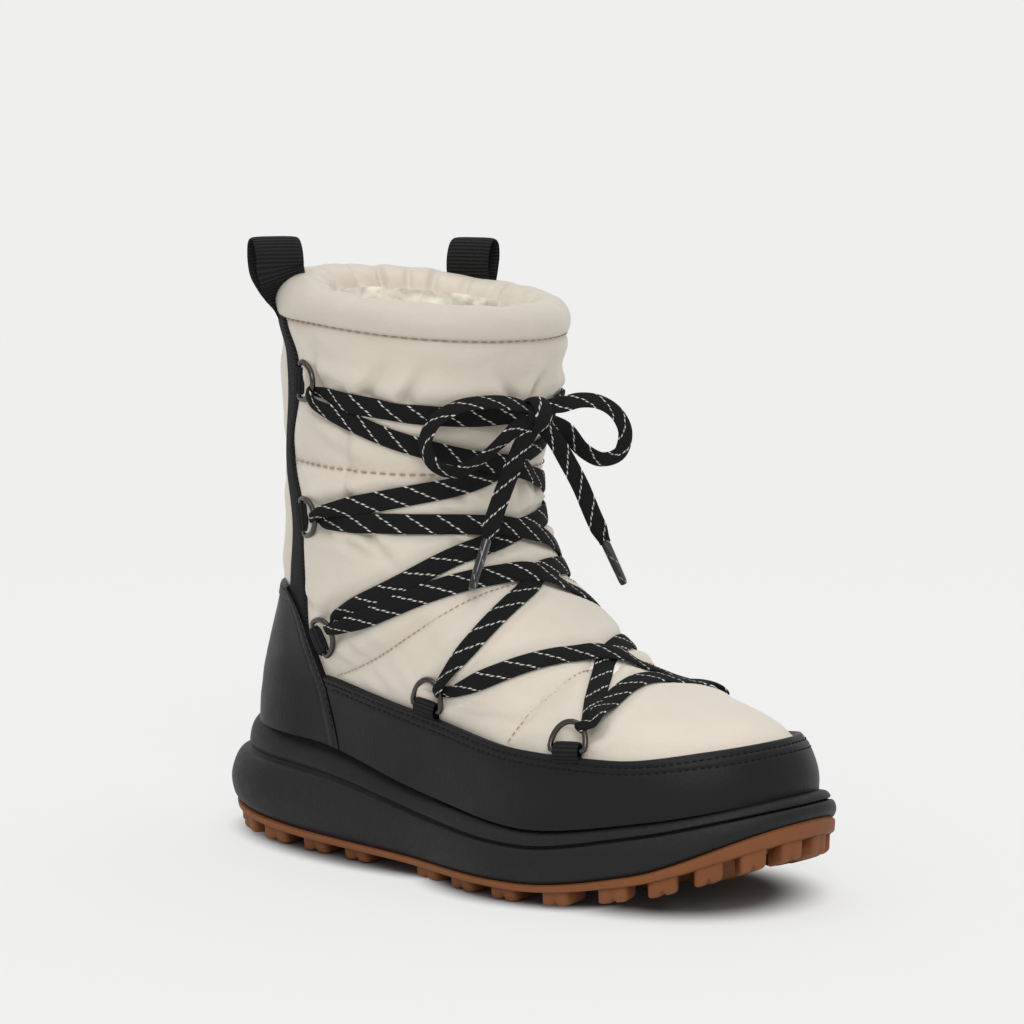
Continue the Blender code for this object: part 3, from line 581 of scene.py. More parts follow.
def ends(x, heel, toe, heel_r, toe_r, toe_p):
    """Share of the full width at x, from 1 in the middle to 0 at the rounded ends."""
    front = np.clip((x - toe + toe_r) / toe_r, 0, 1) ** toe_p
    back = np.clip((heel + heel_r - x) / heel_r, 0, 1) ** HEEL_POWER
    return (1 - front) ** (1 / toe_p) * (1 - back) ** (1 / HEEL_POWER)


def outline(t):
    """The sole's outline, from the toe round by the right side."""
    x = (HEEL_X + TOE_X) / 2 + (TOE_X - HEEL_X) / 2 * np.cos(t)
    width = np.where(np.sin(t) > 0, -look(PLAN, "x", "right", x), look(PLAN, "x", "left", x))
    return stack(x, swing(x) + width * ends(x, HEEL_X, TOE_X, HEEL_ROUND, TOE_ROUND, TOE_POWER))


def along_outline(t):
    return outline(t + TINY) - outline(t - TINY)


def inset_outline(t, inset):
    """The outline moved inward by inset."""
    along = along_outline(t)
    out = unit(stack(-along[..., 1], along[..., 0]))
    return outline(t) - out * np.asarray(inset)[..., None]


def form(t, z):
    """The upper's outer face before the quilting."""
    row = {name: look(SECTIONS, "z", name, z) for name in Section._fields[1:]}
    long = row["toe"] - row["heel"]
    x = row["heel"] + long * (0.5 + 0.5 * np.cos(t))
    share = (x - row["heel"]) / long
    width = row["heel_w"] + (row["waist_w"] - row["heel_w"]) * ease((share - 0.18) / 0.27)
    width = width + (row["ball_w"] - row["waist_w"]) * ease((share - 0.42) / 0.28)
    width = width * ends(x, row["heel"], row["toe"], row["heel_r"], row["toe_r"], row["toe_p"])
    side = np.where(np.sin(t) > 0, -1.0, row["inner"])
    return stack(x, swing(x) + side * width, z)


def along_form(t, z):
    return form(t + TINY, z) - form(t - TINY, z)


def facing(t, z):
    """Outward direction of the form."""
    up = form(t, z + 0.2) - form(t, z - 0.2)
    return unit(np.cross(up, along_form(t, z)))


def lifted(t, z, lift):
    """A point lifted off the form along its outward direction."""
    return form(t, z) + facing(t, z) * np.broadcast_to(lift, t.shape)[:, None]


def counter_edge(z):
    ordered = sorted(COUNTER_FRONT, key=lambda edge: edge.z)
    return smooth(column(ordered, "z"), column(ordered, "x"), z)


def counter_edge_height(x):
    ordered = sorted(COUNTER_FRONT)
    return smooth(column(ordered, "x"), column(ordered, "z"), x)


def guard_top(x):
    return look(GUARD_TOP, "x", "z", x)


def roll_height(x):
    return ROLL_Z - ROLL_SLOPE * (x - ROLL_X)


def roll_swell(x):
    """How much fuller the collar roll is toward the heel."""
    return ROLL_SWELL * ease((ROLL_X - x) / SWELL_RUN)


def roll_seam(x):
    return roll_height(x) - ROLL_DROP - roll_swell(x)


def strip_angle(z, off, side):
    """Angle of a line on a side's strip, off millimetres behind its middle."""
    t = np.radians(look(STRIP, "z", "angle", z) + side * SHAFT_TURN)
    speed = np.linalg.norm(along_form(t, z), axis=-1) / (2 * TINY)
    return side * (t + off / speed)


def ring_wave(z):
    """1 beside the two rings on a strip and -1 midway between them."""
    return np.cos(2 * np.pi * (z - RINGS[1].z) / (RINGS[0].z - RINGS[1].z))


def strip_waist(z, side):
    """How far the quilt covers the front edge of a side's strip, most between two rings."""
    wave = 0.5 - 0.5 * ring_wave(z)
    return STRIP_WAIST * (0.7 + 0.3 * side) * wave * (0.25 + 0.75 * ease((z - RINGS[1].z + 12) / 24))


def strip_nip(z):
    """How far the back panel covers the rear edge of a strip, most beside a ring."""
    wave = 0.5 + 0.5 * ring_wave(z)
    return STRIP_NIP * wave * ease((z - NIP_FROM) / NIP_RUN)


def off_strip(t, z):
    """Distance from the edge of the strip on the same side, along the section."""
    t = folded(t, 2 * np.pi)
    side = np.where(t > 0, 1.0, -1.0)
    middle = strip_angle(z, 0.0, side)
    behind = (t - middle) / (strip_angle(z, 1.0, side) - middle)
    return np.maximum(behind + strip_nip(z), -behind + strip_waist(z, side)) - STRIP_WIDTH / 2


def between(t, share, top):
    """Height at a share of the way from the midsole's edge up to the height top(x)."""
    z = np.full_like(t, GUESS_Z)
    for _ in range(6):
        x = form(t, z)[..., 0]
        foot = look(SOLE, "x", "feather", x) + SEWN
        z = foot + share * (top(x) - foot)
    return z


def outer_share(place):
    """Share of the way up the quilted face at an even place along its rows."""
    return smooth(np.linspace(0, 1, len(OUTER_SHARES)), np.array(OUTER_SHARES), place)


def angle_at(x, z):
    """Angle on the right side where the form has this x at this height."""
    heel = look(SECTIONS, "z", "heel", z)
    toe = look(SECTIONS, "z", "toe", z)
    return np.arccos(np.clip((2 * x - heel - toe) / (toe - heel), -1, 1))


# Quilting

def seam_lines(x, z):
    """Distances in the side view above the guard's top edge and above each quilt seam."""
    return [z - guard_top(x), *(above_seam(seam, x, z) for seam in SEAMS)]


def above_seam(seam, x, z):
    turn = math.radians(seam.slope)
    share = np.clip((seam.x - x) / seam.span, 0, 1)
    sag = seam.sag * 4 * share * (1 - share)
    return (z - seam.z) * math.cos(turn) - (x - seam.x) * math.sin(turn) + sag


def clear_of_leather(x, z):
    """Distance from the mudguard and the heel counter."""
    return np.minimum(z - guard_top(x), np.maximum(x - counter_edge(z), z - COUNTER_TOP))


def clear_of_sewn(t, x, z):
    """Distance from the nearest piece that is sewn over the quilting."""
    return np.minimum(clear_of_leather(x, z), off_strip(t, z))


def swell_share(t, x, z):
    """Share of the quilt's height that is free beside what is sewn on; it laps over the strips' edges."""
    leather = np.clip(clear_of_leather(x, z) / PUFF_FADE, 0, 1)
    lap = STRIP_LAP * (1 + 0.8 * ripple(z / LAP_WAVE, 31))
    strip = np.clip((off_strip(t, z) + lap) / PUFF_FADE, 0, 1)
    return np.sqrt(ease(np.minimum(leather, strip)))


def groove(away, wide):
    """1 on a line, falling to 0 on both sides of it."""
    return np.exp(-(away / wide) ** 2)


def crease_relief(t, z):
    """Listed folds: a trough with a soft ridge on one side, fading toward its far end."""
    total = np.zeros_like(t)
    scale = np.array(CREASE_SCALE)
    for crease in CREASES:
        run = np.array([crease.to_turn - crease.turn, crease.to_z - crease.z]) * scale
        point = stack(folded(np.degrees(t) - crease.turn, 360), z - crease.z) * scale
        share = np.clip(point @ run / (run @ run), 0, 1)
        apart = point - share[:, None] * run
        away = np.linalg.norm(apart, axis=-1) / (CREASE_SPREAD * crease.width)
        side = away * np.sign(apart[:, 0] * run[1] - apart[:, 1] * run[0])
        fade = (1 - 0.85 * share) ** 1.3
        ridge = RIDGE * groove(side - RIDGE_AWAY, RIDGE_WIDE)
        total = total - crease.depth * fade * (groove(away, 1.0) - ridge)
    return total


def quilting(t, z):
    """Height of the padded quilt over the plain form."""
    base = form(t, z)
    x = base[:, 0]
    lines = seam_lines(x, z)
    swell = np.zeros_like(z)
    for under, over, rise in zip(lines, lines[1:], [TOE_PUFF, *column(SEAMS, "puff")]):
        inside = (under > 0) & (over < 0)
        low, high = (np.hypot(gap, SEAM_SOFT) - SEAM_SOFT for gap in (under, over))
        share = low / np.maximum(low + high, 1e-6)
        swell = swell + np.where(inside, rise * np.sin(np.pi * share) ** 0.6, 0)
    pucker = np.zeros_like(z)
    for number, line in enumerate(lines[1:]):
        wave = ripple((x + z + 0.7 * np.abs(base[:, 1])) / PUCKER_PITCH + 40, number + 3)
        near = np.abs(line) / PUCKER_REACH
        pucker = pucker + PUCKER * wave * near * np.exp(1 - near)
    soft = sum(high * cloud(base, size) for high, size in LUMPS)
    depth = bpy.context.scene.boot_sizes.crease_depth
    swell = swell * (1 - FRONT_FLAT * groove(np.sin(t / 2), FRONT_WIDE) * ease((z - FRONT_FROM) / FRONT_RUN))
    total = swell + pucker + soft + depth * crease_relief(t, z)
    for line in lines[1:]:
        total = total - SEAM_DEPTH * groove(line, SEAM_WIDE)
    return total * swell_share(t, x, z)


def flare(x, z):
    """How far the cloth leans out to meet the collar roll."""
    return FLARE * ease((z - roll_seam(x)) / FLARE_RUN + 1)


def skin(t, z):
    """A point on the quilted face before anything presses on it."""
    return lifted(t, z, quilting(t, z) + flare(form(t, z)[:, 0], z))


# Meshes

def weave(us, vs, place, caps=False):
    """A grid wrapped by place(i, j), with us and vs as its UV map; edges that meet are merged."""
    bm = bmesh.new()
    layer = bm.loops.layers.uv.new("UVMap")
    bmesh.ops.create_grid(bm, x_segments=len(us) - 1, y_segments=len(vs) - 1, size=0.5)
    bm.verts.index_update()
    corner = np.array([vert.co[:2] for vert in bm.verts]) + 0.5
    i = np.round(corner[:, 0] * (len(us) - 1)).astype(int)
    j = np.round(corner[:, 1] * (len(vs) - 1)).astype(int)
    for vert, point in zip(bm.verts, to_row(place(i, j))):
        vert.co = point
    uv = np.stack([np.asarray(us)[i], np.asarray(vs)[j]], axis=-1)
    for face in bm.faces:
        for loop in face.loops:
            loop[layer].uv = uv[loop.vert.index]
    bmesh.ops.remove_doubles(bm, verts=bm.verts, dist=1e-6)
    bmesh.ops.dissolve_degenerate(bm, edges=bm.edges, dist=1e-6)
    if caps:
        rim = [edge for edge in bm.edges if edge.is_boundary]
        plain_uv(layer, bmesh.ops.holes_fill(bm, edges=rim, sides=0)["faces"])
    return bm


def plain_uv(layer, faces):
    """Puts faces on a stretch of the pattern that has no fleck."""
    for face in faces:
        for loop in face.loops:
            loop[layer].uv = NO_FLECK


def new_object(name, bm, look_name):
    """Puts a finished mesh in the scene with its material."""
    mesh = bpy.data.meshes.new(name)
    bm.to_mesh(mesh)
    bm.free()
    mesh.shade_smooth()
    mesh.materials.append(finish_of(look_name))
    made = bpy.data.objects.new(name, mesh)
    bpy.context.scene.collection.objects.link(made)
    return made


def add_piece(name, bm, look_name, nodes=()):
    """Makes a closed mesh into a piece of the boot that rides on it and stands for its nodes."""
    if any(not edge.is_manifold for edge in bm.edges):
        raise RuntimeError(f"{name} is not a closed mesh")
    bm.normal_update()
    bmesh.ops.recalc_face_normals(bm, faces=bm.faces)
    if bm.calc_volume(signed=True) < 0:
        bmesh.ops.reverse_faces(bm, faces=bm.faces)
    piece = new_object(name, bm, look_name)
    piece.data.set_sharp_from_angle(angle=math.radians(SHARP))
    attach(piece, BODY)
    if nodes:
        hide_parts(*nodes)
    return piece


def band_heights(power, under):
    """Heights round a band's section: 1 on its upper face, with the lower face scaled by under."""
    upper = np.arange(len(BAND_ROUND)) < BAND_TOP
    return np.sqrt(1 - np.abs(BAND_ROUND) ** power) * np.where(upper, 1, under)


def band_mesh(path, out, width, thick):
    """A flat band with round edges along a path; width may change along it."""
    along = unit(np.gradient(path, axis=0))
    wide = unit(np.cross(along, out))
    out = unit(np.cross(wide, along))
    high = band_heights(4, -1)
    width = np.broadcast_to(width, len(path))

    def place(i, j):
        j = j % len(BAND_ROUND)
        side = wide[i] * (BAND_ROUND[j] * width[i] / 2)[:, None]
        return path[i] + side + out[i] * (high[j] * thick / 2)[:, None]

    return weave(arc_length(path) * MM, BAND_UV, place, caps=True)


def turns(count):
    """Even shares from 0 to 1."""
    return np.linspace(0, 1, count + 1)


def around(i, count):
    """Angle of a column when count columns go once round."""
    return 2 * np.pi * (i % count) / count


# Rings and lace routes

def ring_seat(number, side):
    """Bar centre and the three directions of a ring: outward from the boot, reach, bar."""
    ring = RINGS[number - 1]
    z = np.array([ring.z])
    if ring.on_strip:
        t = strip_angle(z, -STRIP_WIDTH / 2 - TAB_LEG - 1.0, side)
    else:
        t = side * angle_at(np.array([ring.x + (ring.left if side < 0 else 0.0)]), z)
    out = facing(t, z)[0]
    up = unit(np.array([0.0, 0.0, 1.0]) - out * out[2])
    ahead = np.cross(up, out) * side
    lean = math.radians(ring.lean)
    reach = math.cos(lean) * up + math.sin(lean) * ahead
    return form(t, z)[0], out, reach, np.cross(out, reach)


def bar_height():
    return GAP + 1.5 * TAB_THICK + RING_WIRE + GAP


def ring_plane(number, side):
    """Bar centre on the ring's own height, its tilted reach, its bar and its normal."""
    at, out, reach, bar = ring_seat(number, side)
    tilt = math.radians(RING_TILT)
    reach = math.cos(tilt) * reach + math.sin(tilt) * out
    return at + out * bar_height(), reach, bar, np.cross(reach, bar)


@functools.lru_cache(None)
def quilt_tree():
    """The quilted face, in millimetres, for the lace to lie on."""
    columns, rows = 160, 120
    bm = bmesh.new()
    bmesh.ops.create_grid(bm, x_segments=columns, y_segments=rows, size=0.5)
    corner = np.array([vert.co[:2] for vert in bm.verts]) + 0.5
    t = 2 * np.pi * corner[:, 0]
    share = outer_share(corner[:, 1])
    z = between(t, share, roll_seam)
    for vert, point in zip(bm.verts, skin(t, z)):
        vert.co = point
    bm.normal_update()
    tree = BVHTree.FromBMesh(bm)
    bm.free()
    return tree


def laid(guide):
    """Moves a guide onto the quilt; gives the path and the outward directions."""
    tree = quilt_tree()
    hits = [tree.find_nearest(Vector(point)) for point in guide]
    path = np.array([hit[0] for hit in hits])
    out = unit(np.array([hit[1] for hit in hits]))
    away = unit(path - np.array(INSIDE))
    out = soften(out * np.sign((out * away).sum()), 9, unit)
    path = soften(path, 9)
    wide = unit(np.cross(unit(np.gradient(path, axis=0)), out))
    rise = np.zeros(len(path))
    for i, middle in enumerate(path):
        heights = []
        for off in (-0.4, 0.0, 0.4):
            probe = Vector(middle + wide[i] * off * LACE_WIDTH + out[i] * PROBE)
            hit = tree.ray_cast(probe, Vector(-out[i]))
            heights.append(PROBE - hit[3] if hit[0] else 0.0)
        rise[i] = max(heights)
    rise = np.convolve(np.pad(rise, 3, "edge"), np.ones(7) / 7, "valid")
    return path + out * (rise + LACE_THICK / 2 - LACE_SINK)[:, None], out


def hold(number, side):
    """Where the lace turns round a ring's wire: the point, away from the ring, along the wire, normal."""
    at, reach, bar, normal = ring_plane(number, side)
    slide = side * math.radians(RINGS[number - 1].slide)
    point = at + bar * RING_HALF * math.sin(slide) + reach * RING_REACH * math.cos(slide) ** 0.8
    away = unit(reach * math.cos(slide) + bar * math.sin(slide))
    return point, away, np.cross(normal, away), normal


def leaving(number, side, share):
    """Where a run leaves a ring, beyond the ring's bow and off the middle of the turn."""
    point, away, along, _ = hold(number, side)
    return point + away * (RING_WIRE + LEAVE_AHEAD) + along * share


def run_route(run):
    """A run from ring to ring across the front: its path on the quilt and the outward directions."""
    first = leaving(run.right, 1, LEAVE_SPREAD if run.left < run.right else -LEAVE_SPREAD)
    last = leaving(run.left, -1, -LEAVE_SPREAD if run.right < run.left else LEAVE_SPREAD)
    middle = np.array([run.x, float(swing(np.float64(run.x))), run.z])
    s = np.linspace(0, 1, RUN_STEPS)[:, None]
    guide = first * (1 - s) * (1 - 2 * s) + middle * 4 * s * (1 - s) + last * s * (2 * s - 1)
    straight = np.interp(s[:, 0], [0, 0.5, 1], [first[2], middle[2], last[2]])
    mirror = next(other for other in RUNS if (other.right, other.left) == (run.left, run.right))
    dip = np.where(s[:, 0] < 0.5, run.dip, mirror.dip)
    guide[:, 2] = 0.3 * guide[:, 2] + 0.7 * straight - dip * np.sin(np.pi * np.abs(1 - 2 * s[:, 0]))
    path, out = laid(guide)
    return (path, out) if run.from_right else (path[::-1], out[::-1])


def top_route(side):
    """The last run, from the top ring to the knot."""
    first = leaving(1, side, side * LEAVE_SPREAD)
    last = np.array(KNOT_AT) + np.array([0.0, -side * 5.0, -1.0])
    s = np.linspace(0, 1, RUN_STEPS)[:, None]
    sag = np.array(TOP_SAG) * np.array([1.0, -side, 1.0])
    guide = first * (1 - s) + last * s + sag * 4 * s * (1 - s)
    path, out = laid(guide)
    pull = ease((s - 0.55) / 0.45)
    return path * (1 - pull) + (path + last - path[-1]) * pull, out


def wrap(number, side, sign):
    """Half a turn of the lace round a ring's wire."""
    point, away, _, normal = hold(number, side)
    phi = np.linspace(0, np.pi, 7)
    phi = phi if sign > 0 else phi[::-1]
    out = np.cos(phi)[:, None] * normal - np.sin(phi)[:, None] * away
    return point + WRAP_RADIUS * out, out


@functools.lru_cache(None)
def lace_route():
    """The whole lace from the knot through the rings and back: path, outward directions, widths."""
    runs = [run_route(run) for run in RUNS]
    for run, (path, out) in zip(RUNS, runs):
        if run.over:
            for other, (under, _) in zip(RUNS, runs):
                if (other.right, other.left) == (run.left, run.right):
                    gap = np.linalg.norm(path[:, None] - under[None], axis=-1).min(axis=1)
                    path += out * (CROSS_LIFT * ease(1.6 - gap / LACE_WIDTH))[:, None]
    first, last = top_route(1), top_route(-1)
    chain = [(first[0][::-1], first[1][::-1]), *runs, last]
    rings = [(1, 1)]
    for run in RUNS:
        rings.append((run.left, -1) if run.from_right else (run.right, 1))
    pieces = []
    for number, (path, out) in enumerate(chain):
        sign = 1 if number % 2 else -1
        wide = np.ones(len(path))
        for ring, end in ((rings[number - 1] if number else None, 0),
                          (rings[number] if number < len(rings) else None, -1)):
            if ring:
                point, _, _, normal = hold(*ring)
                lift = (point + sign * WRAP_RADIUS * normal - path[end]) @ out[end]
                away = np.linalg.norm(path - path[end], axis=1)
                path = path + out * (lift * 0.8 * (1 - ease(away / 20.0)))[:, None]
                wide = np.minimum(wide, RING_NARROW + (1 - RING_NARROW) * ease((away + 2.0) / 17.0))
        pieces.append((path, out * sign, wide))
        if number < len(rings):
            bend, turn = wrap(*rings[number], sign)
            pieces.append((bend, turn, np.full(len(bend), WRAP_NARROW)))
    path, out, wide = (np.concatenate(part) for part in zip(*pieces))
    run = arc_length(path)
    even = np.arange(0, run[-1], STATION)
    path, out = (soften(resample(rows, run, even), 2) for rows in (path, out))
    return path, unit(out), soften(np.interp(even, run, wide), 4)


# Shader tools

class Wire:
    """A socket in a material, on which Python's operators add Math nodes."""

    def __init__(self, tree, socket):
        self.tree = tree
        self.socket = socket

    def make(self, kind, settings, values, out=0):
        """Any other node: its kind, then its settings, then values or links for its sockets."""
        node = self.tree.nodes.new(kind)
        for name, value in settings.items():
            setattr(node, name, value)
        for key, value in values.items():
            if isinstance(value, Wire):
                self.tree.links.new(value.socket, node.inputs[key])
            else:
                node.inputs[key].default_value = value
        return Wire(self.tree, node.outputs[out])

    def math(self, operation, *values):
        return self.make("ShaderNodeMath", {"operation": operation}, dict(enumerate(values)))

    def __add__(self, other):
        return self.math("ADD", self, other)

    __radd__ = __add__

    def __sub__(self, other):
        return self.math("SUBTRACT", self, other)

    def __rsub__(self, other):
        return self.math("SUBTRACT", other, self)

    def __mul__(self, other):
        return self.math("MULTIPLY", self, other)

    __rmul__ = __mul__

    def __truediv__(self, other):
        return self.math("DIVIDE", self, other)

    def wave(self):
        """Sine of turns, from 0 to 1."""
        return 0.5 + 0.5 * self.math("SINE", self * (2 * math.pi))

    def part(self):
        return self.math("FRACT", self)

    def below(self, edge, soft):
        """1 below an edge, easing to 0 above it."""
        values = {"Value": self, "From Min": edge - soft, "From Max": edge + soft}
        values.update({"To Min": 1.0, "To Max": 0.0})
        return self.make("ShaderNodeMapRange", {"interpolation_type": "SMOOTHSTEP"}, values)

    def noise(self, size, detail=2.0):
        """Noise whose lumps are about size metres."""
        return self.make("ShaderNodeTexNoise", {}, {"Vector": self, "Scale": 1 / size, "Detail": detail})

    def axes(self):
        node = self.make("ShaderNodeSeparateXYZ", {}, {0: self}).socket.node
        return [Wire(self.tree, socket) for socket in node.outputs]

    def vector(self, operation, *values, out=0):
        """Vector Math on this socket and other values."""
        values = dict(enumerate((self, *values)))
        return self.make("ShaderNodeVectorMath", {"operation": operation}, values, out)

    def length(self):
        return self.vector("LENGTH", out=1)

    def mix(self, first, second):
        """Colour from first to second as this value goes from 0 to 1."""
        return self.make("ShaderNodeMix", {"data_type": "RGBA"}, {0: self, 6: first, 7: second}, 2)


class Finish:
    """A new material: its Principled shader, and the coordinates that patterns read."""

    def __init__(self, name, colour, rough, metal=0.0, shine=0.5):
        self.made = bpy.data.materials.new(name)
        self.made.use_nodes = True
        tree = self.made.node_tree
        self.shader = tree.nodes["Principled BSDF"]
        self.shader.inputs["Base Color"].default_value = (*colour, 1)
        self.shader.inputs["Roughness"].default_value = rough
        self.shader.inputs["Metallic"].default_value = metal
        self.shader.inputs["Specular IOR Level"].default_value = shine
        node = tree.nodes.new("ShaderNodeTexCoord")
        self.place = Wire(tree, node.outputs["Object"])
        self.uv = Wire(tree, node.outputs["UV"])

    def feed(self, name, wire):
        wire.tree.links.new(wire.socket, self.shader.inputs[name])

    def bump(self, height, distance):
        values = {"Height": height, "Distance": distance, "Strength": 1.0}
        self.feed("Normal", height.make("ShaderNodeBump", {}, values))


def rgba(colour, share=1.0):
    return (*(channel * share for channel in colour), 1.0)


# Materials

def nylon_look(colours):
    finish = Finish("quilt_nylon", colours.nylon, 0.48, shine=0.35)
    finish.shader.inputs["Sheen Weight"].default_value = 0.15
    mottle = finish.place.noise(0.02, 3.0)
    cloth_colour = mottle.mix(rgba(colours.nylon, 0.95), rgba(colours.nylon, 1.05))
    _, height, _ = finish.uv.axes()
    apart = height - ROLL_MIDDLE
    # Painted shade: the band of the UV map on the collar roll is darker than the rest of the cloth.
    roll = apart.math("ABSOLUTE", apart).below(ROLL_HALF, 0.015)
    finish.feed("Base Color", roll.mix(cloth_colour, rgba(colours.nylon, ROLL_PAINTED_SHADE)))
    finish.bump(finish.place.noise(0.006, 3.0) + 0.3 * finish.place.noise(0.0007, 1.0), 0.00035)
    return finish.made


def fleece_look(colours):
    finish = Finish("pile_fleece", colours.fleece, 0.95)
    finish.shader.inputs["Sheen Weight"].default_value = 0.8
    tuft = finish.place.noise(0.0032, 4.0)
    finish.feed("Base Color", tuft.mix(rgba(colours.fleece, 0.9), rgba(colours.fleece, 1.04)))
    finish.bump(tuft + 0.5 * finish.place.noise(0.0012, 2.0), 0.0004)
    return finish.made


def leather_look(colours):
    finish = Finish("smooth_leather", colours.leather, 0.45, shine=0.2)
    finish.feed("Roughness", 0.36 + 0.22 * finish.place.noise(0.012, 2.0))
    finish.bump(finish.place.noise(0.0011, 3.0), 0.00014)
    return finish.made


def webbing_look(colours):
    finish = Finish("ribbed_webbing", colours.webbing, 0.8, shine=0.2)
    along, across, _ = finish.uv.axes()
    ribs = (along / 0.0015).wave()
    threads = (across * 34.0).wave()
    finish.feed("Base Color", ribs.mix(rgba(colours.webbing, 0.5), rgba(colours.webbing, 1.6)))
    finish.bump(ribs + 0.35 * threads, 0.0005)
    return finish.made


def metal_look(colours):
    finish = Finish("gunmetal_wire", colours.metal, 0.25, 1.0)
    finish.feed("Roughness", 0.16 + 0.14 * finish.place.noise(0.002, 2.0))
    return finish.made


def fleck_mask(finish, lead, dashes):
    """Dashed lines that wind round a braid: 1 on the pale threads."""
    along, across, _ = finish.uv.axes()
    pair = (across * (dashes / 2)).part().below(0.5, 0.02)
    line = (along / lead - 2.0 * across + 0.035 * pair).part().below(0.085, 0.02)
    dash = (across * dashes).part().below(0.62, 0.08)
    return line * dash


def cord_look(colours):
    finish = Finish("flat_braid", colours.cord, 0.85, shine=0.15)
    along, across, _ = finish.uv.axes()
    fleck = fleck_mask(finish, 0.0122, 13.0)
    finish.feed("Base Color", fleck.mix(rgba(colours.cord), rgba(colours.fleck)))
    braid = (along / 0.0011 + across * 14.0).wave() * (along / 0.0011 - across * 14.0).wave()
    finish.bump(braid + 0.4 * fleck, 0.0004)
    return finish.made


def tip_look(colours):
    finish = Finish("lace_tip", colours.tip, 0.16)
    finish.shader.inputs["Coat Weight"].default_value = 0.6
    fleck = fleck_mask(finish, 0.009, 7.0)
    finish.feed("Base Color", (0.35 * fleck).mix(rgba(colours.tip), rgba(colours.fleck)))
    return finish.made


def tan_thread_look(colours):
    return Finish("tan_thread", colours.thread, 0.8).made


def black_thread_look(colours):
    return Finish("black_thread", colours.black_thread, 0.7, shine=0.2).made


def foam_look(colours):
    finish = Finish("moulded_foam", colours.midsole, 0.55, shine=0.26)
    finish.feed("Roughness", 0.46 + 0.2 * finish.place.noise(0.004, 2.0))
    finish.bump(finish.place.noise(0.0009, 2.0), 0.00022)
    return finish.made


def gum_look(colours):
    finish = Finish("gum_rubber", colours.outsole, 0.62, shine=0.25)
    mottle = finish.place.noise(0.012, 4.0)
    finish.feed("Base Color", mottle.mix(rgba(colours.outsole, 0.82), rgba(colours.outsole, 1.15)))
    finish.bump(finish.place.noise(0.0012, 3.0), 0.0002)
    return finish.made


def backdrop_look(colours):
    """Paper that takes the boot's shadow near it, with a painted shadow in ovals under the boot, and is
    evenly lit further away.
    """
    finish = Finish("paper_backdrop", colours.backdrop, 0.95, shine=0.0)
    finish.shader.inputs["Emission Strength"].default_value = 1.0
    near = finish.place.length().below(*NEAR_PAPER)
    black = (0.0, 0.0, 0.0, 1.0)
    finish.feed("Base Color", near.mix(black, rgba(colours.backdrop)))
    # Painted shadow: inside these ovals the paper's own light is turned down.
    painted_shadows = []
    for shade in PAINTED_SHADOWS:
        apart = finish.place.vector("SUBTRACT", shade.at).vector("DIVIDE", shade.size)
        painted_shadows.append(apart.length().below(1.0, shade.soft))
    under = functools.reduce(lambda one, two: one.math("MAXIMUM", one, two), painted_shadows)
    glow = under.mix(rgba(PAPER_LIGHT, PAPER_GLOW), rgba(PAPER_LIGHT, PAINTED_SHADOW_GLOW))
    finish.feed("Emission Color", near.mix((*PAPER_LIGHT, 1.0), glow))
    return finish.made


Look = namedtuple("Look", "slot build")
LOOKS = {
    "nylon": Look("nylon", nylon_look),
    "fleece": Look("fleece", fleece_look),
    "leather": Look("leather", leather_look),
    "webbing": Look("webbing", webbing_look),
    "metal": Look("gunmetal", metal_look),
    "cord": Look("cord", cord_look),
    "tip": Look("tip", tip_look),
    "tan_thread": Look("cord", tan_thread_look),
    "black_thread": Look("cord", black_thread_look),
    "foam": Look("black_rubber", foam_look),
    "gum": Look("gum", gum_look),
    "backdrop": Look(None, backdrop_look),
}


@functools.lru_cache(None)
def finish_of(name):
    """The material of a look, made once."""
    return LOOKS[name].build(bpy.context.scene.boot_colours)


# Sole

def heel_share(x):
    """0 from the waist forward, easing to 1 at the heel."""
    return ease((-50.0 - x) / 75.0)


def side_rows(profile, t):
    """Insets and heights of a side profile's rows at angles t."""
    near = outline(t)[:, 0]
    insets, heights = [], []
    for row in profile:
        tall = look(SOLE, "x", row.high, near) - look(SOLE, "x", row.low, near)
        inset = row.inset + row.heel * heel_share(near) + row.lean * tall
        x = inset_outline(t, inset)[:, 0]
        low = look(SOLE, "x", row.low, x)
        insets.append(inset)
        heights.append(low + row.share * (look(SOLE, "x", row.high, x) - low))
    return np.array(insets), np.array(heights)


def sole_mesh(profile, columns, steps):
    """A slab on the sole's outline with a smooth side, closed along its middle line."""
    t = around(np.arange(columns), columns)
    insets, heights = side_rows(profile, t)
    fine = np.linspace(0, len(profile) - 1, steps)
    rows = np.arange(len(profile), dtype=float)
    insets = np.array([smooth(rows, values, fine) for values in insets.T]).T
    heights = np.array([smooth(rows, values, fine) for values in heights.T]).T

    def place(i, j):
        i = i % columns
        k = np.clip(j - 1, 0, steps - 1)
        inset = insets[k, i]
        point = inset_outline(t[i], inset)
        other = inset_outline(-t[i], insets[k, -i % columns])
        middle = (j == 0) | (j == steps + 1)
        x = np.where(middle, (point[:, 0] + other[:, 0]) / 2, point[:, 0])
        y = np.where(middle, swing(x), point[:, 1])
        z = np.where(middle, (heights[k, i] + heights[k, -i % columns]) / 2, heights[k, i])
        return stack(x, y, z)

    return weave(turns(columns), turns(steps + 1), place)


def edge_lugs():
    """Tread blocks set square to the outline, the same on both sides."""
    made = []
    for side, _ in SIDES:
        t = side * np.linspace(0, np.pi, 721)
        run = np.linalg.norm(np.diff(outline(t), axis=0), axis=1).cumsum()
        for tread in TREAD:
            angle = np.array([np.interp(tread.along, run, t[1:])])
            along = along_outline(angle)[0]
            inset = tread.length / 2 + TREAD_INSET + HEEL_TUCK * heel_share(outline(angle)[:, 0])
            at = inset_outline(angle, inset)[0]
            turn = math.atan2(along[0], -along[1])
            width = tread.width * (1 + LUG_SPREAD * ease((tread.along - 110) / 60))
            made.append(Lug(at[0], at[1], tread.length, width, turn, True))
    return made


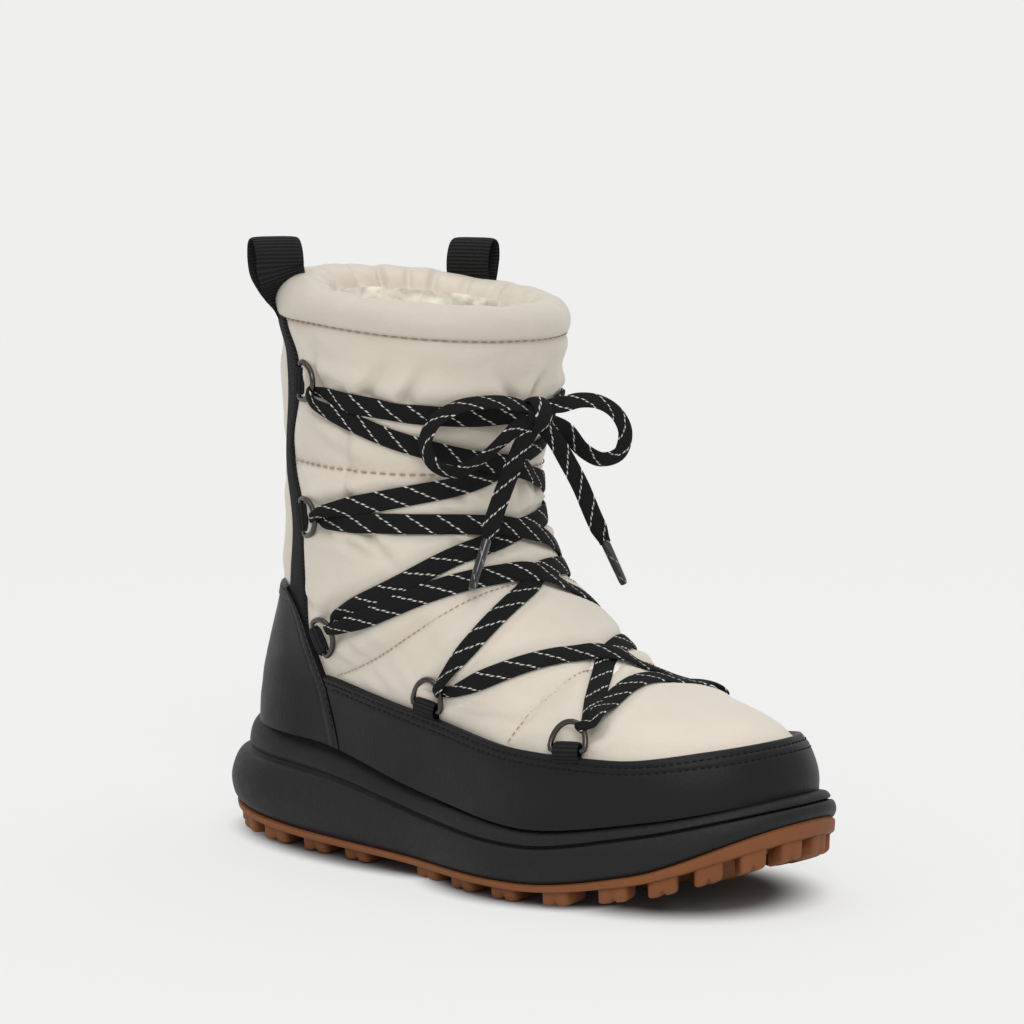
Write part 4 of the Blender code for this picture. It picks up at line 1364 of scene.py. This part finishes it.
def add_lug(bm, lug):
    """One tapered tread block with soft edges; its foot follows the rocker of the sole."""
    block = bmesh.new()
    bmesh.ops.create_cube(block, size=1.0)
    bmesh.ops.bevel(block, geom=block.edges[:], offset=LUG_SOFT, affect="EDGES", segments=3, profile=0.5,
                    material=-1)
    if lug.notched:
        for at in (-0.15, 0.0, 0.15):
            geom = block.verts[:] + block.edges[:] + block.faces[:]
            bmesh.ops.bisect_plane(block, geom=geom, plane_co=(0.0, at, 0.0), plane_no=(0.0, 1.0, 0.0))
        for vert in block.verts:
            if abs(vert.co.y) < 0.01:
                vert.co.z += LUG_NOTCH * (0.5 - vert.co.z) * (0.5 + vert.co.x)
                vert.co.x -= 0.4 * LUG_NOTCH * (0.5 - vert.co.z) * (0.5 + vert.co.x)
    turn = np.array([[math.cos(lug.turn), -math.sin(lug.turn)], [math.sin(lug.turn), math.cos(lug.turn)]])
    for vert in block.verts:
        high = vert.co.z + 0.5
        taper = LUG_TIP + (1.0 - LUG_TIP) * high
        inner = 1.0 - (1.0 - LUG_INNER) * (0.5 - vert.co.x)
        local = np.array([vert.co.x * lug.length, vert.co.y * lug.width * inner]) * taper
        x, y = turn @ local + np.array([lug.x, lug.y])
        foot, root = look(SOLE, "x", "lug", x), look(SOLE, "x", "base", x) + LUG_ROOT
        vert.co = to_row([x, y, float(foot + (root - foot) * high)])
    made = bpy.data.meshes.new("lug")
    block.to_mesh(made)
    block.free()
    bm.from_mesh(made)
    bpy.data.meshes.remove(made)


# Pieces worn on the form

def overlay_mesh(across, shares, span, top, lift_at):
    """A sewn-on piece between the midsole's edge and top(x), over the angles given by span(z)."""
    edge = np.array([0.994, 0.998, 1.0, 1.0])
    levels = np.concatenate([shares, edge, [0.7, 0.35, 0.0]])
    thick = np.concatenate([np.ones(len(shares)), [0.93, 0.75, 0.4, 0.0], np.zeros(3)])
    rows = len(levels)

    def place(i, j):
        j = j % rows
        z = np.full(len(i), GUESS_Z)
        for _ in range(6):
            first, last = span(z)
            t = first + (last - first) * i / across
            z = between(t, levels[j], top)
        lift = thick[j] * lift_at(form(t, z)[:, 0], z)
        return lifted(t, z, lift + 0.1)

    return weave(turns(across), turns(rows), place, caps=True)


def guard_span(z):
    """Angles of the mudguard's two ends, just ahead of the counter's front edge."""
    edge = angle_at(counter_edge(z) + 0.8, z)
    return -edge, edge


def counter_top(x):
    return np.full_like(x, COUNTER_TOP)


def counter_span(z):
    """Angles of the counter's front edges."""
    edge = angle_at(counter_edge(z), z)
    return edge, 2 * np.pi - edge


def guard_lift(x, z):
    """Height of the mudguard's face over the form, with a groove for each row of stitches."""
    below = guard_top(x) - z
    plain = SEWN + GUARD_THICK + 0.6 * ease((x - 95) / 35)
    return plain - 0.35 * sum(groove(below - row, 0.5) for row in GUARD_ROWS)


def counter_lift(x, z):
    """Height of the counter's face over the form: a raised border between two grooves for stitches."""
    outer, inner = COUNTER_ROWS
    below = np.minimum(counter_edge(z) - x, COUNTER_TOP - z)
    raised = 0.4 * (1 - ease((below - 5.0) / 1.2)) + 0.7
    plain = COUNTER_THICK - 0.5 + raised
    return plain - 0.35 * groove(below - outer, 0.6) - 0.3 * groove(below - inner, 0.6)


def strip_mesh(side):
    """The webbing strip up one side, from the counter to the collar roll."""
    high = band_heights(8, 0)

    def place(i, j):
        j = j % len(BAND_ROUND)
        across = BAND_ROUND[j]
        off = across * STRIP_WIDTH / 2
        foot = np.full(len(i), STRIP_FOOT)
        x = form(strip_angle(foot, off, side), foot)[:, 0]
        low = np.maximum(counter_edge_height(x) - 5.0, STRIP_FOOT - 12.0)
        z = low + (roll_seam(x) + 0.5 - low) * i / STRIP_STEPS
        covered = strip_waist(z, side) * np.clip(-across, 0, 1) - strip_nip(z) * np.clip(across, 0, 1)
        t = strip_angle(z, off + covered, side)
        lift = 0.1 + high[j] * STRIP_THICK + flare(x, z)
        return lifted(t, z, lift)

    return weave(np.linspace(0, STRIP_RUN, STRIP_STEPS + 1), BAND_UV, place, caps=True)


def loop_mesh(side):
    """A pull loop of webbing, turned about the upright as it rises."""
    z = np.array([ROLL_Z - LOOP_DROP + 3.0])
    t = strip_angle(z, LOOP_BACK[side], side)
    root = form(t, z)[0]
    root[2] = roll_height(root[0]) - LOOP_DROP
    out = level(facing(t, z)[0])
    up = np.array([0.0, 0.0, 1.0])
    hoop = rounded(stack(column(LOOP, "out"), column(LOOP, "up")), STATION)
    hoop[:, 0] = LOOP_PIVOT + (hoop[:, 0] - LOOP_PIVOT) * LOOP_OPEN[side] - LOOP_IN
    hoop[:, 1] = hoop[:, 1] * LOOP_TALL[side]
    low, high = np.radians(LOOP_TURN[side])
    turn = low + (high - low) * ease(hoop[:, 1:] / 20.0)
    turned = np.cos(turn) * out + np.sin(turn) * np.cross(up, out)
    path = root + LOOP_PIVOT * out + (hoop[:, :1] - LOOP_PIVOT) * turned + hoop[:, 1:] * up
    across = np.cross(unit(np.gradient(path, axis=0)), np.cross(up, turned))
    width = STRIP_WIDTH * (0.7 + 0.3 * ease(hoop[:, 1] / 9.0))
    return band_mesh(path, across, width, STRIP_THICK)


def ring_mesh(number, side):
    """A D ring of round wire: a bow and a straight bar."""
    at, reach, bar, normal = ring_plane(number, side)
    bend = np.linspace(0, math.pi, 33)
    local = np.stack([-RING_HALF * np.cos(bend), RING_REACH * np.sin(bend) ** 0.8], axis=-1)
    straight = np.linspace(RING_HALF, -RING_HALF, 12)[1:-1]
    local = np.concatenate([local, stack(straight, np.zeros_like(straight))])
    path = at + local[:, :1] * bar + local[:, 1:] * reach
    for _ in range(2):
        path = (np.roll(path, 1, axis=0) + 4 * path + np.roll(path, -1, axis=0)) / 6
    count, sides = len(path), 12
    ahead = unit(np.roll(path, -1, axis=0) - np.roll(path, 1, axis=0))
    across = np.cross(ahead, normal)

    def place(i, j):
        i = i % count
        turn = around(j, sides)[:, None]
        return path[i] + RING_WIRE * (np.cos(turn) * across[i] + np.sin(turn) * normal)

    return weave(turns(count), turns(sides), place)


def tab_mesh(number, side):
    """A short fold of webbing round a ring's bar."""
    at, out, reach, bar = ring_seat(number, side)
    radius = RING_WIRE + GAP + TAB_THICK / 2
    bend = np.radians(np.linspace(-90, 90, 17))
    nose = np.stack([1.6 * radius * np.cos(bend), radius * np.sin(bend)], axis=-1)
    legs = np.linspace(-TAB_LEG - 3.0, -0.6, 6)
    tuck = radius * (1 - 0.9 * ease((-legs - TAB_LEG + 1.0) / 3.6))
    local = np.concatenate([stack(legs, -tuck), nose, stack(legs, tuck)[::-1]])
    path = at + out * bar_height() + local[:, :1] * reach + local[:, 1:] * out
    seat = STRIP_THICK + 0.4 if RINGS[number - 1].on_strip else 0.7
    path = path - out * ((bar_height() - seat) * ease((-local[:, :1] - 0.6) / (TAB_LEG + 1.2)))
    along = unit(np.gradient(path, axis=0))
    return band_mesh(path, np.cross(along, bar), TAB_WIDTH, TAB_THICK)


# Padded upper and lining

@functools.lru_cache(None)
def lace_tree():
    """The lace's stations, for the quilt to give way under them."""
    path = lace_route()[0]
    tree = kdtree.KDTree(len(path))
    for number, point in enumerate(path):
        tree.insert(point, number)
    tree.balance()
    return tree


def press(wall, out, bare):
    """How far the lace and the rings move the quilt: swell beside the lace, and just clear under it."""
    hits = [lace_tree().find(point) for point in wall]
    away = np.array([hit[2] for hit in hits])
    number = np.array([hit[1] for hit in hits])
    beside = BESIDE_SWELL * groove(away - BESIDE, BESIDE_WIDE)
    high = (beside - LACE_PRESS * ease((7.5 - away) / 4.0) + ring_relief(wall)) * bare
    path, over, _ = lace_route()
    over = over[number] * np.sign((over[number] * out).sum(axis=1))[:, None]
    above = ((wall + out * high[:, None] - path[number]) * over).sum(axis=1) + LACE_THICK / 2 + 0.2
    return high - np.clip(above, 0, 4) * ease((6.8 - away) / 2.2)


def ring_relief(points):
    """Dimple and short gathers of the quilt round each ring."""
    total = np.zeros(len(points))
    for side, _ in SIDES:
        for number in RING_NUMBERS:
            point, away, along, _ = hold(number, side)
            apart = points - point
            far = np.linalg.norm(apart, axis=1)
            angle = np.arctan2(apart @ along, apart @ away)
            near = far / GATHER_REACH
            gather = GATHER * ripple(angle * 1.6 + 40 + number, 50 + number) * near * np.exp(1 - near)
            total = total + gather - DIMPLE * groove(far, DIMPLE_WIDE)
    return total


def cloth(t, z, lift):
    """A point on the quilted face as the lace and the rings press it."""
    wall, out = skin(t, z), facing(t, z)
    high = press(wall, out, ease(clear_of_sewn(t, wall[:, 0], z) / 6.0)) + lift
    return wall + out * high[:, None]


def pleats(t):
    """Depth of the gathers round the collar roll at angles t."""
    total = np.zeros_like(t)
    for pleat in PLEATS:
        away = folded(np.degrees(t) - pleat.turn, 360)
        total = total + pleat.depth * groove(away, PLEAT_WIDE)
    return total


def roll_point(t, z, swept):
    """A point on the collar roll, swept degrees up from its outer side."""
    swell = roll_swell(form(t, z)[:, 0])
    low, high = ROLL_ARC
    angle = np.radians(swept - 5.0 * swell * (high - swept) / (high - low))
    gather = 1.35 * pleats(t) * ease((swept - 75) / 70) * (1 - ease((swept - 158) / 30))
    soft = 0.65 * ripple(t * 50 / 17 + 60, 21) + 0.45 * ripple(t * 50 / 7 + 60, 22)
    radius = ROLL_RADIUS + swell + soft * ease((swept + 40) / 50) - gather
    reach = ROLL_BULGE - ROLL_RADIUS - swell + radius * np.cos(angle)
    point = form(t, z) + level(facing(t, z)) * reach[:, None]
    point[:, 2] += ROLL_DROP + swell + radius * np.sin(angle)
    return point


def upper_mesh():
    """Outer quilted face, collar roll and back of the wall as one closed shell."""
    shares = outer_share(np.linspace(0, 1, OUTER_ROWS))
    back = np.linspace(0.97, 0, BACK_ROWS)
    share = np.concatenate([shares, np.ones(ROLL_ROWS), back])
    swept = np.linspace(*ROLL_ARC, ROLL_ROWS)
    rows = len(share)

    def place(i, j):
        j = j % rows
        t = around(i, UPPER_COLUMNS)
        z = between(t, share[j], roll_seam)
        point = lifted(t, z, -WALL_BACK)
        outer = j < OUTER_ROWS
        point[outer] = cloth(t[outer], z[outer], 0.0)
        roll = ~outer & (j < OUTER_ROWS + ROLL_ROWS)
        point[roll] = roll_point(t[roll], z[roll], swept[j[roll] - OUTER_ROWS])
        return point

    bm = weave(turns(UPPER_COLUMNS), turns(rows), place)
    bmesh.ops.smooth_vert(bm, verts=bm.verts, factor=0.4, use_axis_x=True, use_axis_y=True, use_axis_z=True)
    return bm


def lining_mesh(pile):
    """A closed shell of pile inside the wall, thicker under the collar."""
    inner = np.concatenate([np.linspace(1.044, 0.86, 44), np.linspace(0.84, 0.0, 60)])
    share = np.concatenate([np.linspace(0.0, 1.0, LINING_BACK_ROWS), inner])
    rows = len(share)

    def place(i, j):
        j = j % rows
        back = j < LINING_BACK_ROWS
        t = around(i, LINING_COLUMNS)
        z = between(t, share[j], roll_seam)
        full = COLLAR_PILE + 2 * roll_swell(form(t, z)[:, 0])
        thick = LINING_DEPTH + (full - LINING_DEPTH) * ease((share[j] - 0.82) / 0.16)
        depth = np.where(back, WALL_BACK + GAP + 8.0 * ease((share[j] - 0.85) / 0.15), thick)
        point = form(t, z) - level(facing(t, z)) * depth[:, None]
        tuft = pile * (cloud(point, 5.5) + 0.35 * cloud(point, 2.4)) * ~back
        return point - level(facing(t, z)) * tuft[:, None]

    return weave(turns(LINING_COLUMNS), turns(rows), place)


def insole_mesh(pile):
    """The insole: flat below, with pile on top."""
    columns, rows = 160, 16

    def place(i, j):
        t = around(i, columns)
        z = between(t, np.full(len(i), 0.015), lambda x: np.full_like(x, 212.0))
        rim, other = (form(turn, z) - level(facing(turn, z)) * (WALL + 2.2) for turn in (t, -t))
        middle = stack((rim[:, 0] + other[:, 0]) / 2, swing((rim[:, 0] + other[:, 0]) / 2), z)
        share = np.clip(np.abs(j - 0.5 * rows) - 1, 0, None) / (0.5 * rows - 1)
        point = rim + (middle - rim) * share[:, None]
        over = j > rows / 2
        tuft = pile * cloud(point, 5.0) * over
        high = np.where(over, INSOLE_THICK + tuft, 0.0)
        point[:, 2] = look(SOLE, "x", "feather", point[:, 0]) + SEWN + high
        return point

    return weave(turns(columns), turns(rows), place)


# Stitches

Row = namedtuple("Row", "points out size")


def seam_row(seam, side):
    """Points along a quilt seam on one side of the boot, from the front to the back."""
    t = side * np.linspace(0.002, np.pi - 0.002, 500)
    low, high = np.full_like(t, 40.0), np.full_like(t, 225.0)
    for _ in range(40):
        z = (low + high) / 2
        line = above_seam(seam, form(t, z)[:, 0], z)
        low, high = np.where(line < 0, z, low), np.where(line < 0, high, z)
    keep = (clear_of_sewn(t, form(t, z)[:, 0], z) > 1.0) & (z < STITCH_TOP)
    point = cloth(t, z, STITCH_LIFT)
    return Row(point[keep], facing(t, z)[keep], seam.stitch)


def quilt_rows():
    return [seam_row(seam, side) for seam in SEAMS for side, _ in SIDES]


def leather_row(t, z, lift):
    return Row(lifted(t, z, lift), facing(t, z), 1.0)


def leather_rows():
    """Two rows under the mudguard's top edge and two along the counter's edge."""
    made = []
    share = np.linspace(0.004, 0.996, 900)
    z = np.full_like(share, GUESS_Z)
    for below in GUARD_ROWS:
        for _ in range(8):
            first, last = guard_span(z)
            t = first + (last - first) * share
            z = guard_top(form(t, z)[:, 0]) - below
        made.append(leather_row(t, z, guard_lift(form(t, z)[:, 0], z) + 0.3))
    for inset, lift in zip(COUNTER_ROWS, COUNTER_ROW_LIFTS):
        for side, _ in SIDES:
            z = np.linspace(52.0, COUNTER_TOP - inset, 300)
            t = side * angle_at(counter_edge(z) - inset, z)
            made.append(leather_row(t, z, COUNTER_THICK + lift))
        corner = counter_edge(np.array([COUNTER_TOP - inset])) - inset
        edge = angle_at(corner, np.array([COUNTER_TOP]))[0]
        t = np.linspace(edge, 2 * np.pi - edge, 400)
        z = np.full_like(t, COUNTER_TOP - inset)
        made.append(leather_row(t, z, COUNTER_THICK + lift))
    return made


def stitch_mesh(rows, length, pitch):
    """Short rounded stitches laid end to end along rows."""
    bm = bmesh.new()
    for row in rows:
        run = arc_length(row.points)
        gaps = np.concatenate([[0], np.diff(run)]) > 6.0
        long = length * row.size
        for at in np.arange(pitch / 2, run[-1], pitch * row.size):
            place = int(np.searchsorted(run, at))
            if gaps[place] or place == 0 or place >= len(run) - 1:
                continue
            middle = Vector(to_row(row.points[place]))
            along = Vector(unit(row.points[place + 1] - row.points[place - 1]))
            out = Vector(row.out[place])
            wide = out.cross(along).normalized()
            axes = Matrix((along, wide, along.cross(wide))).transposed().to_4x4()
            thick = STITCH_ROUND * long * MM
            scale = Matrix.Diagonal((long / 2 * MM, thick, thick, 1.0))
            matrix = Matrix.Translation(middle) @ axes @ scale
            bmesh.ops.create_uvsphere(bm, u_segments=6, v_segments=4, radius=1.0, matrix=matrix)
    return bm


# Knot and bow

def knot_mesh():
    """A flat lace wrapped round the crossing of the bow, with a core that fills it."""
    count = 40
    high = band_heights(4, -1)

    def place(i, j):
        j = j % len(BAND_ROUND)
        across = BAND_ROUND[j]
        turn = around(i, count)
        out = stack(np.cos(turn), np.zeros_like(turn), np.sin(turn))
        wide = np.array([0.0, 1.0, 0.0]) * (across * KNOT_HALF)[:, None]
        bulge = 0.7 * (1 - across ** 2) + 0.8 * high[j]
        return np.array(KNOT_AT) + out * np.array(KNOT_WRAP) + wide + out * bulge[:, None]

    bm = weave(np.linspace(0, KNOT_RUN, count + 1), BAND_UV, place)
    scale = Matrix.Diagonal((*(half * MM for half in KNOT_CORE), 1.0))
    matrix = Matrix.Translation(Vector(to_row(KNOT_AT))) @ scale
    core = bmesh.ops.create_icosphere(bm, subdivisions=3, radius=1.0, matrix=matrix)["verts"]
    plain_uv(bm.loops.layers.uv.active, {face for vert in core for face in vert.link_faces})
    return bm


def bow_route(hand):
    """One half of the bow: out of the knot, round the loop, behind the knot and down the end."""
    knot = np.array(KNOT_AT)
    side = np.array([0.0, -1.0 if hand == "right" else 1.0, 0.0])
    loop = np.array(BOW[hand])
    loop = loop + (loop.mean(axis=0) - loop) * BOW_SHRINK[hand]
    points = [knot + side * 3.0 + np.array([0.0, 0.0, 3.0]), *loop]
    points += [knot + side * 2.0 + np.array([2.0, 0.0, -3.0]), *np.array(BOW_END[hand])]
    return rounded(points, STATION)


def add_bow(hand, width):
    """One half of the bow with its tip, turned to face the camera."""
    path = bow_route(hand)
    middle = np.array(BOW[hand]).mean(axis=0)
    run = arc_length(path) / arc_length(path)[-1]
    way = unit(np.array(CAMERA_AT) - np.array(KNOT_AT))
    out = unit(unit(path - middle) + BOW_FACE[hand] * way)
    hanging = ease((run - 0.66) / 0.1)[:, None]
    out = soften(unit(out * (1 - hanging) + way * hanging), 12, unit)
    ends = 0.75 + 0.25 * ease(run / 0.06) - 0.35 * ease((run - 0.95) / 0.05)
    bow = add_piece(f"bow_{hand}", band_mesh(path, out, width * ends, LACE_THICK), "cord",
                    (f"lace_loop_{hand}", f"lace_end_{hand}"))
    tip = add_piece(f"aglet_{hand}", tip_mesh(path), "tip", (f"lace_tip_{hand}",))
    tuple(to_row(path[0]))
    arc_length(path)[-1] * MM
    width * MM
    [tuple(p) for p in to_row(path)]


def tip_mesh(path):
    """A rounded tube on the end of the lace."""
    ahead = unit(path[-1] - path[-4])
    first = path[-1] - ahead * TIP_LAP
    side = unit(np.cross(ahead, [0.0, 0.0, 1.0]))
    other = np.cross(side, ahead)
    stations = np.array([0.0, 0.02, 0.06, 0.3, 0.6, 0.9, 0.97, 1.0])
    radius = TIP_RADIUS * np.array([0.0, 0.9, 1.0, 1.0, 0.95, 0.9, 0.75, 0.0])
    sides = 16

    def place(i, j):
        turn = around(j, sides)[:, None]
        ring = radius[i][:, None] * (np.cos(turn) * side + np.sin(turn) * other)
        return first + ahead * (stations[i] * (TIP_LENGTH + TIP_LAP))[:, None] + ring

    return weave(stations * TIP_LENGTH * MM, turns(sides), place)


# Stage

def add_camera(scene):
    data = bpy.data.cameras.new("camera")
    data.lens = LENS
    data.sensor_width = 36.0
    data.clip_end = 50.0
    camera = bpy.data.objects.new("camera", data)
    camera.location = to_row(CAMERA_AT)
    ahead = Vector(to_row(CAMERA_TO)) - camera.location
    camera.rotation_euler = ahead.to_track_quat("-Z", "Y").to_euler()
    scene.collection.objects.link(camera)
    scene.camera = camera


def add_backdrop():
    """Paper on the floor that curves up behind the boot, square to the camera."""
    view = unit(np.array([*CAMERA_AT[:2], 0.0]))
    side = np.array([-view[1], view[0], 0.0])
    bend = np.radians(np.linspace(0, 90, 13))
    curve = [(-PAPER_BACK - PAPER_BEND * math.sin(a), PAPER_BEND - PAPER_BEND * math.cos(a)) for a in bend]
    profile = [(PAPER_FRONT, 0.0), *curve, (-PAPER_BACK - PAPER_BEND, PAPER_TOP)]
    bm = bmesh.new()
    ends = []
    for share in (-PAPER_HALF, PAPER_HALF):
        row = [bm.verts.new(Vector(view * far + side * share) + Vector((0, 0, up))) for far, up in profile]
        ends.append([bm.edges.new(pair) for pair in zip(row, row[1:])])
    bmesh.ops.bridge_loops(bm, edges=ends[0] + ends[1])
    bm.normal_update()
    if bm.faces[:][0].normal.z < 0:
        bmesh.ops.reverse_faces(bm, faces=bm.faces)
    backdrop = new_object("backdrop", bm, "backdrop")


def add_lights(scene):
    world = bpy.data.worlds.new("studio")
    world.use_nodes = True
    world.node_tree.nodes["Background"].inputs["Color"].default_value = (1.0, 1.0, 1.0, 1.0)
    world.node_tree.nodes["Background"].inputs["Strength"].default_value = WORLD
    scene.world = world
    scene.view_settings.view_transform = "Standard"
    for lamp in LAMPS:
        data = bpy.data.lights.new(lamp.name, "SUN")
        data.angle = math.radians(lamp.spread)
        data.energy = lamp.power
        light = bpy.data.objects.new(lamp.name, data)
        light.location = lamp.at
        light.rotation_euler = Vector(lamp.at).to_track_quat("Z", "Y").to_euler()
        scene.collection.objects.link(light)


# Settings

class BootSizes(bpy.types.PropertyGroup):
    """Sizes that a user may change before the pieces are made."""

    crease_depth: FloatProperty(
        name="Crease depth", description="Share of the tabled depth of the creases",
        default=2.05, min=0.0, max=3.0)
    stitch_length: FloatProperty(
        name="Stitch length", description="Length of one stitch",
        default=0.0033, unit="LENGTH", min=0.001)
    stitch_pitch: FloatProperty(
        name="Stitch pitch", description="Distance from stitch to stitch",
        default=0.0042, unit="LENGTH", min=0.002)
    edge_stitch_length: FloatProperty(
        name="Edge stitch length", description="Length of one stitch on the leather",
        default=0.0023, unit="LENGTH")
    edge_stitch_pitch: FloatProperty(
        name="Edge stitch pitch", description="From stitch to stitch on the leather",
        default=0.0029, unit="LENGTH")
    pile_depth: FloatProperty(
        name="Pile depth", description="Height of the lining's tufts",
        default=0.0016, unit="LENGTH", min=0.0)
    bow_width: FloatProperty(
        name="Bow lace width", description="Width of the flat lace in the bow",
        default=0.0070, unit="LENGTH")


def colour_property(name, description, default):
    return FloatVectorProperty(name=name, description=description, default=default, subtype="COLOR",
                               size=3, min=0.0, max=1.0)


class BootColours(bpy.types.PropertyGroup):
    """Colours of the boot and its backdrop."""

    nylon: colour_property("Nylon", "Quilted cloth", (0.67, 0.605, 0.512))
    fleece: colour_property("Fleece", "Pile lining", (0.98, 0.92, 0.80))
    leather: colour_property("Leather", "Mudguard and heel counter", (0.009, 0.009, 0.0102))
    webbing: colour_property("Webbing", "Strips, pull loops and tabs", (0.013, 0.013, 0.0135))
    metal: colour_property("Metal", "Wire rings", (0.085, 0.077, 0.07))
    cord: colour_property("Cord", "Lace", (0.012, 0.0115, 0.0115))
    fleck: colour_property("Fleck", "Pale threads of the lace", (0.75, 0.74, 0.70))
    tip: colour_property("Tip", "Lace tips", (0.012, 0.012, 0.013))
    thread: colour_property("Thread", "Stitches on the quilt", (0.38, 0.265, 0.16))
    black_thread: colour_property("Black thread", "Stitches on the leather", (0.006, 0.006, 0.006))
    midsole: colour_property("Midsole", "Moulded foam", (0.0105, 0.0105, 0.0115))
    outsole: colour_property("Outsole", "Gum rubber", (0.212, 0.076, 0.026))
    backdrop: colour_property("Backdrop", "Paper behind the boot", (0.24, 0.24, 0.239))


# Operators

class BOOT_OT_stage(bpy.types.Operator):
    """Set up the camera, the lights and the paper backdrop"""

    bl_idname = "boot.stage"
    bl_label = "Stage"

    def execute(self, context):
        add_camera(context.scene)
        add_backdrop()
        add_lights(context.scene)
        return {"FINISHED"}


class BOOT_OT_bow(bpy.types.Operator):
    """Tie the knot, the bow's loops and ends, and their tips"""

    bl_idname = "boot.bow"
    bl_label = "Knot and bow"

    def execute(self, context):
        knot = add_piece("knot_wrap", knot_mesh(), "cord", ("lace_knot",))
        for hand in BOW:
            add_bow(hand, context.scene.boot_sizes.bow_width / MM)
        return {"FINISHED"}


class BOOT_OT_lace(bpy.types.Operator):
    """Run the lace through the rings"""

    bl_idname = "boot.lace"
    bl_label = "Lace"

    def execute(self, context):
        path, out, wide = lace_route()
        nodes = [f"lace_cross_{number}" for number in range(1, 5)]
        bm = band_mesh(path, out, LACE_WIDTH * wide, LACE_THICK)
        add_piece("lace", bm, "cord", ("lace_bar", *nodes, "lace_top_right", "lace_top_left"))
        return {"FINISHED"}


class BOOT_OT_upper(bpy.types.Operator):
    """Quilt the padded upper and its collar roll"""

    bl_idname = "boot.upper"
    bl_label = "Quilted upper"

    def execute(self, context):
        piece = add_piece("quilted_upper", upper_mesh(), "nylon", ("upper",))
        return {"FINISHED"}


class BOOT_OT_lining(bpy.types.Operator):
    """Line the boot with pile"""

    bl_idname = "boot.lining"
    bl_label = "Lining and insole"

    def execute(self, context):
        pile = context.scene.boot_sizes.pile_depth / MM
        add_piece("fleece_lining", lining_mesh(pile), "fleece")
        add_piece("insole_pile", insole_mesh(pile), "fleece", ("insole",))
        return {"FINISHED"}


class BOOT_OT_leather(bpy.types.Operator):
    """Lay on the mudguard and the heel counter"""

    bl_idname = "boot.leather"
    bl_label = "Leather"

    def execute(self, context):
        rows = np.linspace(0, 0.985, 46)
        guard = overlay_mesh(300, rows, guard_span, guard_top, guard_lift)
        add_piece("mudguard_leather", guard, "leather", ("mudguard",))
        rows = np.linspace(0, 0.985, 100)
        counter = overlay_mesh(220, rows, counter_span, counter_top, counter_lift)
        add_piece("counter_leather", counter, "leather", ("heel_counter",))
        return {"FINISHED"}


class BOOT_OT_webbing(bpy.types.Operator):
    """Sew on the lace strips, the pull loops and the ring tabs"""

    bl_idname = "boot.webbing"
    bl_label = "Webbing"

    def execute(self, context):
        for side, hand in SIDES:
            add_piece(f"strip_webbing_{hand}", strip_mesh(side), "webbing", (f"lace_strip_{hand}",))
            add_piece(f"loop_webbing_{hand}", loop_mesh(side), "webbing", (f"pull_loop_{hand}",))
            for number in RING_NUMBERS:
                bm = tab_mesh(number, side)
                add_piece(f"tab_webbing_{hand}_{number}", bm, "webbing", (f"ring_tab_{hand}_{number}",))
        return {"FINISHED"}


class BOOT_OT_rings(bpy.types.Operator):
    """Hang the wire rings on their tabs"""

    bl_idname = "boot.rings"
    bl_label = "Rings"

    def execute(self, context):
        for side, hand in SIDES:
            for number in RING_NUMBERS:
                bm = ring_mesh(number, side)
                add_piece(f"ring_wire_{hand}_{number}", bm, "metal", (f"d_ring_{hand}_{number}",))
        return {"FINISHED"}


class BOOT_OT_stitches(bpy.types.Operator):
    """Stitch the quilt seams and the leather's edges"""

    bl_idname = "boot.stitches"
    bl_label = "Stitches"

    def execute(self, context):
        sizes = context.scene.boot_sizes
        quilt = stitch_mesh(quilt_rows(), sizes.stitch_length / MM, sizes.stitch_pitch / MM)
        add_piece("quilt_stitches", quilt, "tan_thread")
        edges = stitch_mesh(leather_rows(), sizes.edge_stitch_length / MM, sizes.edge_stitch_pitch / MM)
        add_piece("leather_stitches", edges, "black_thread")
        return {"FINISHED"}


class BOOT_OT_sole(bpy.types.Operator):
    """Mould the midsole and the lugged outsole"""

    bl_idname = "boot.sole"
    bl_label = "Sole"

    def execute(self, context):
        add_piece("midsole_foam", sole_mesh(MIDSOLE_SIDE, 420, 76), "foam", ("midsole",))
        slab = sole_mesh(OUTSOLE_SIDE, 320, 20)
        for lug in (*edge_lugs(), *MIDDLE_LUGS):
            add_lug(slab, lug)
        add_piece("outsole_rubber", slab, "gum", ("outsole",))
        return {"FINISHED"}


class BOOT_PT_panel(bpy.types.Panel):
    """Lists the boot's operators and settings"""

    bl_idname = "BOOT_PT_panel"
    bl_label = "Winter boot"
    bl_space_type = "VIEW_3D"
    bl_region_type = "UI"
    bl_category = "Boot"

    def draw(self, context):
        for group in (context.scene.boot_sizes, context.scene.boot_colours):
            box = self.layout.box()
            for name in group.__annotations__:
                box.prop(group, name)
        for operator in OPERATORS:
            self.layout.operator(operator.bl_idname)


OPERATORS = (
    BOOT_OT_stage, BOOT_OT_bow, BOOT_OT_lace, BOOT_OT_upper, BOOT_OT_lining, BOOT_OT_leather,
    BOOT_OT_webbing, BOOT_OT_rings, BOOT_OT_stitches, BOOT_OT_sole,
)
CLASSES = (BootSizes, BootColours, *OPERATORS, BOOT_PT_panel)


def register():
    for kind in CLASSES:
        bpy.utils.register_class(kind)
    bpy.types.Scene.boot_sizes = PointerProperty(type=BootSizes)
    bpy.types.Scene.boot_colours = PointerProperty(type=BootColours)


def unregister():
    del bpy.types.Scene.boot_colours
    del bpy.types.Scene.boot_sizes
    for kind in reversed(CLASSES):
        bpy.utils.unregister_class(kind)


def main():
    register()
    for operator in OPERATORS:
        group, name = operator.bl_idname.split(".")
        getattr(getattr(bpy.ops, group), name)()
    bpy.context.view_layer.update()


if __name__ == "__main__":
    main()
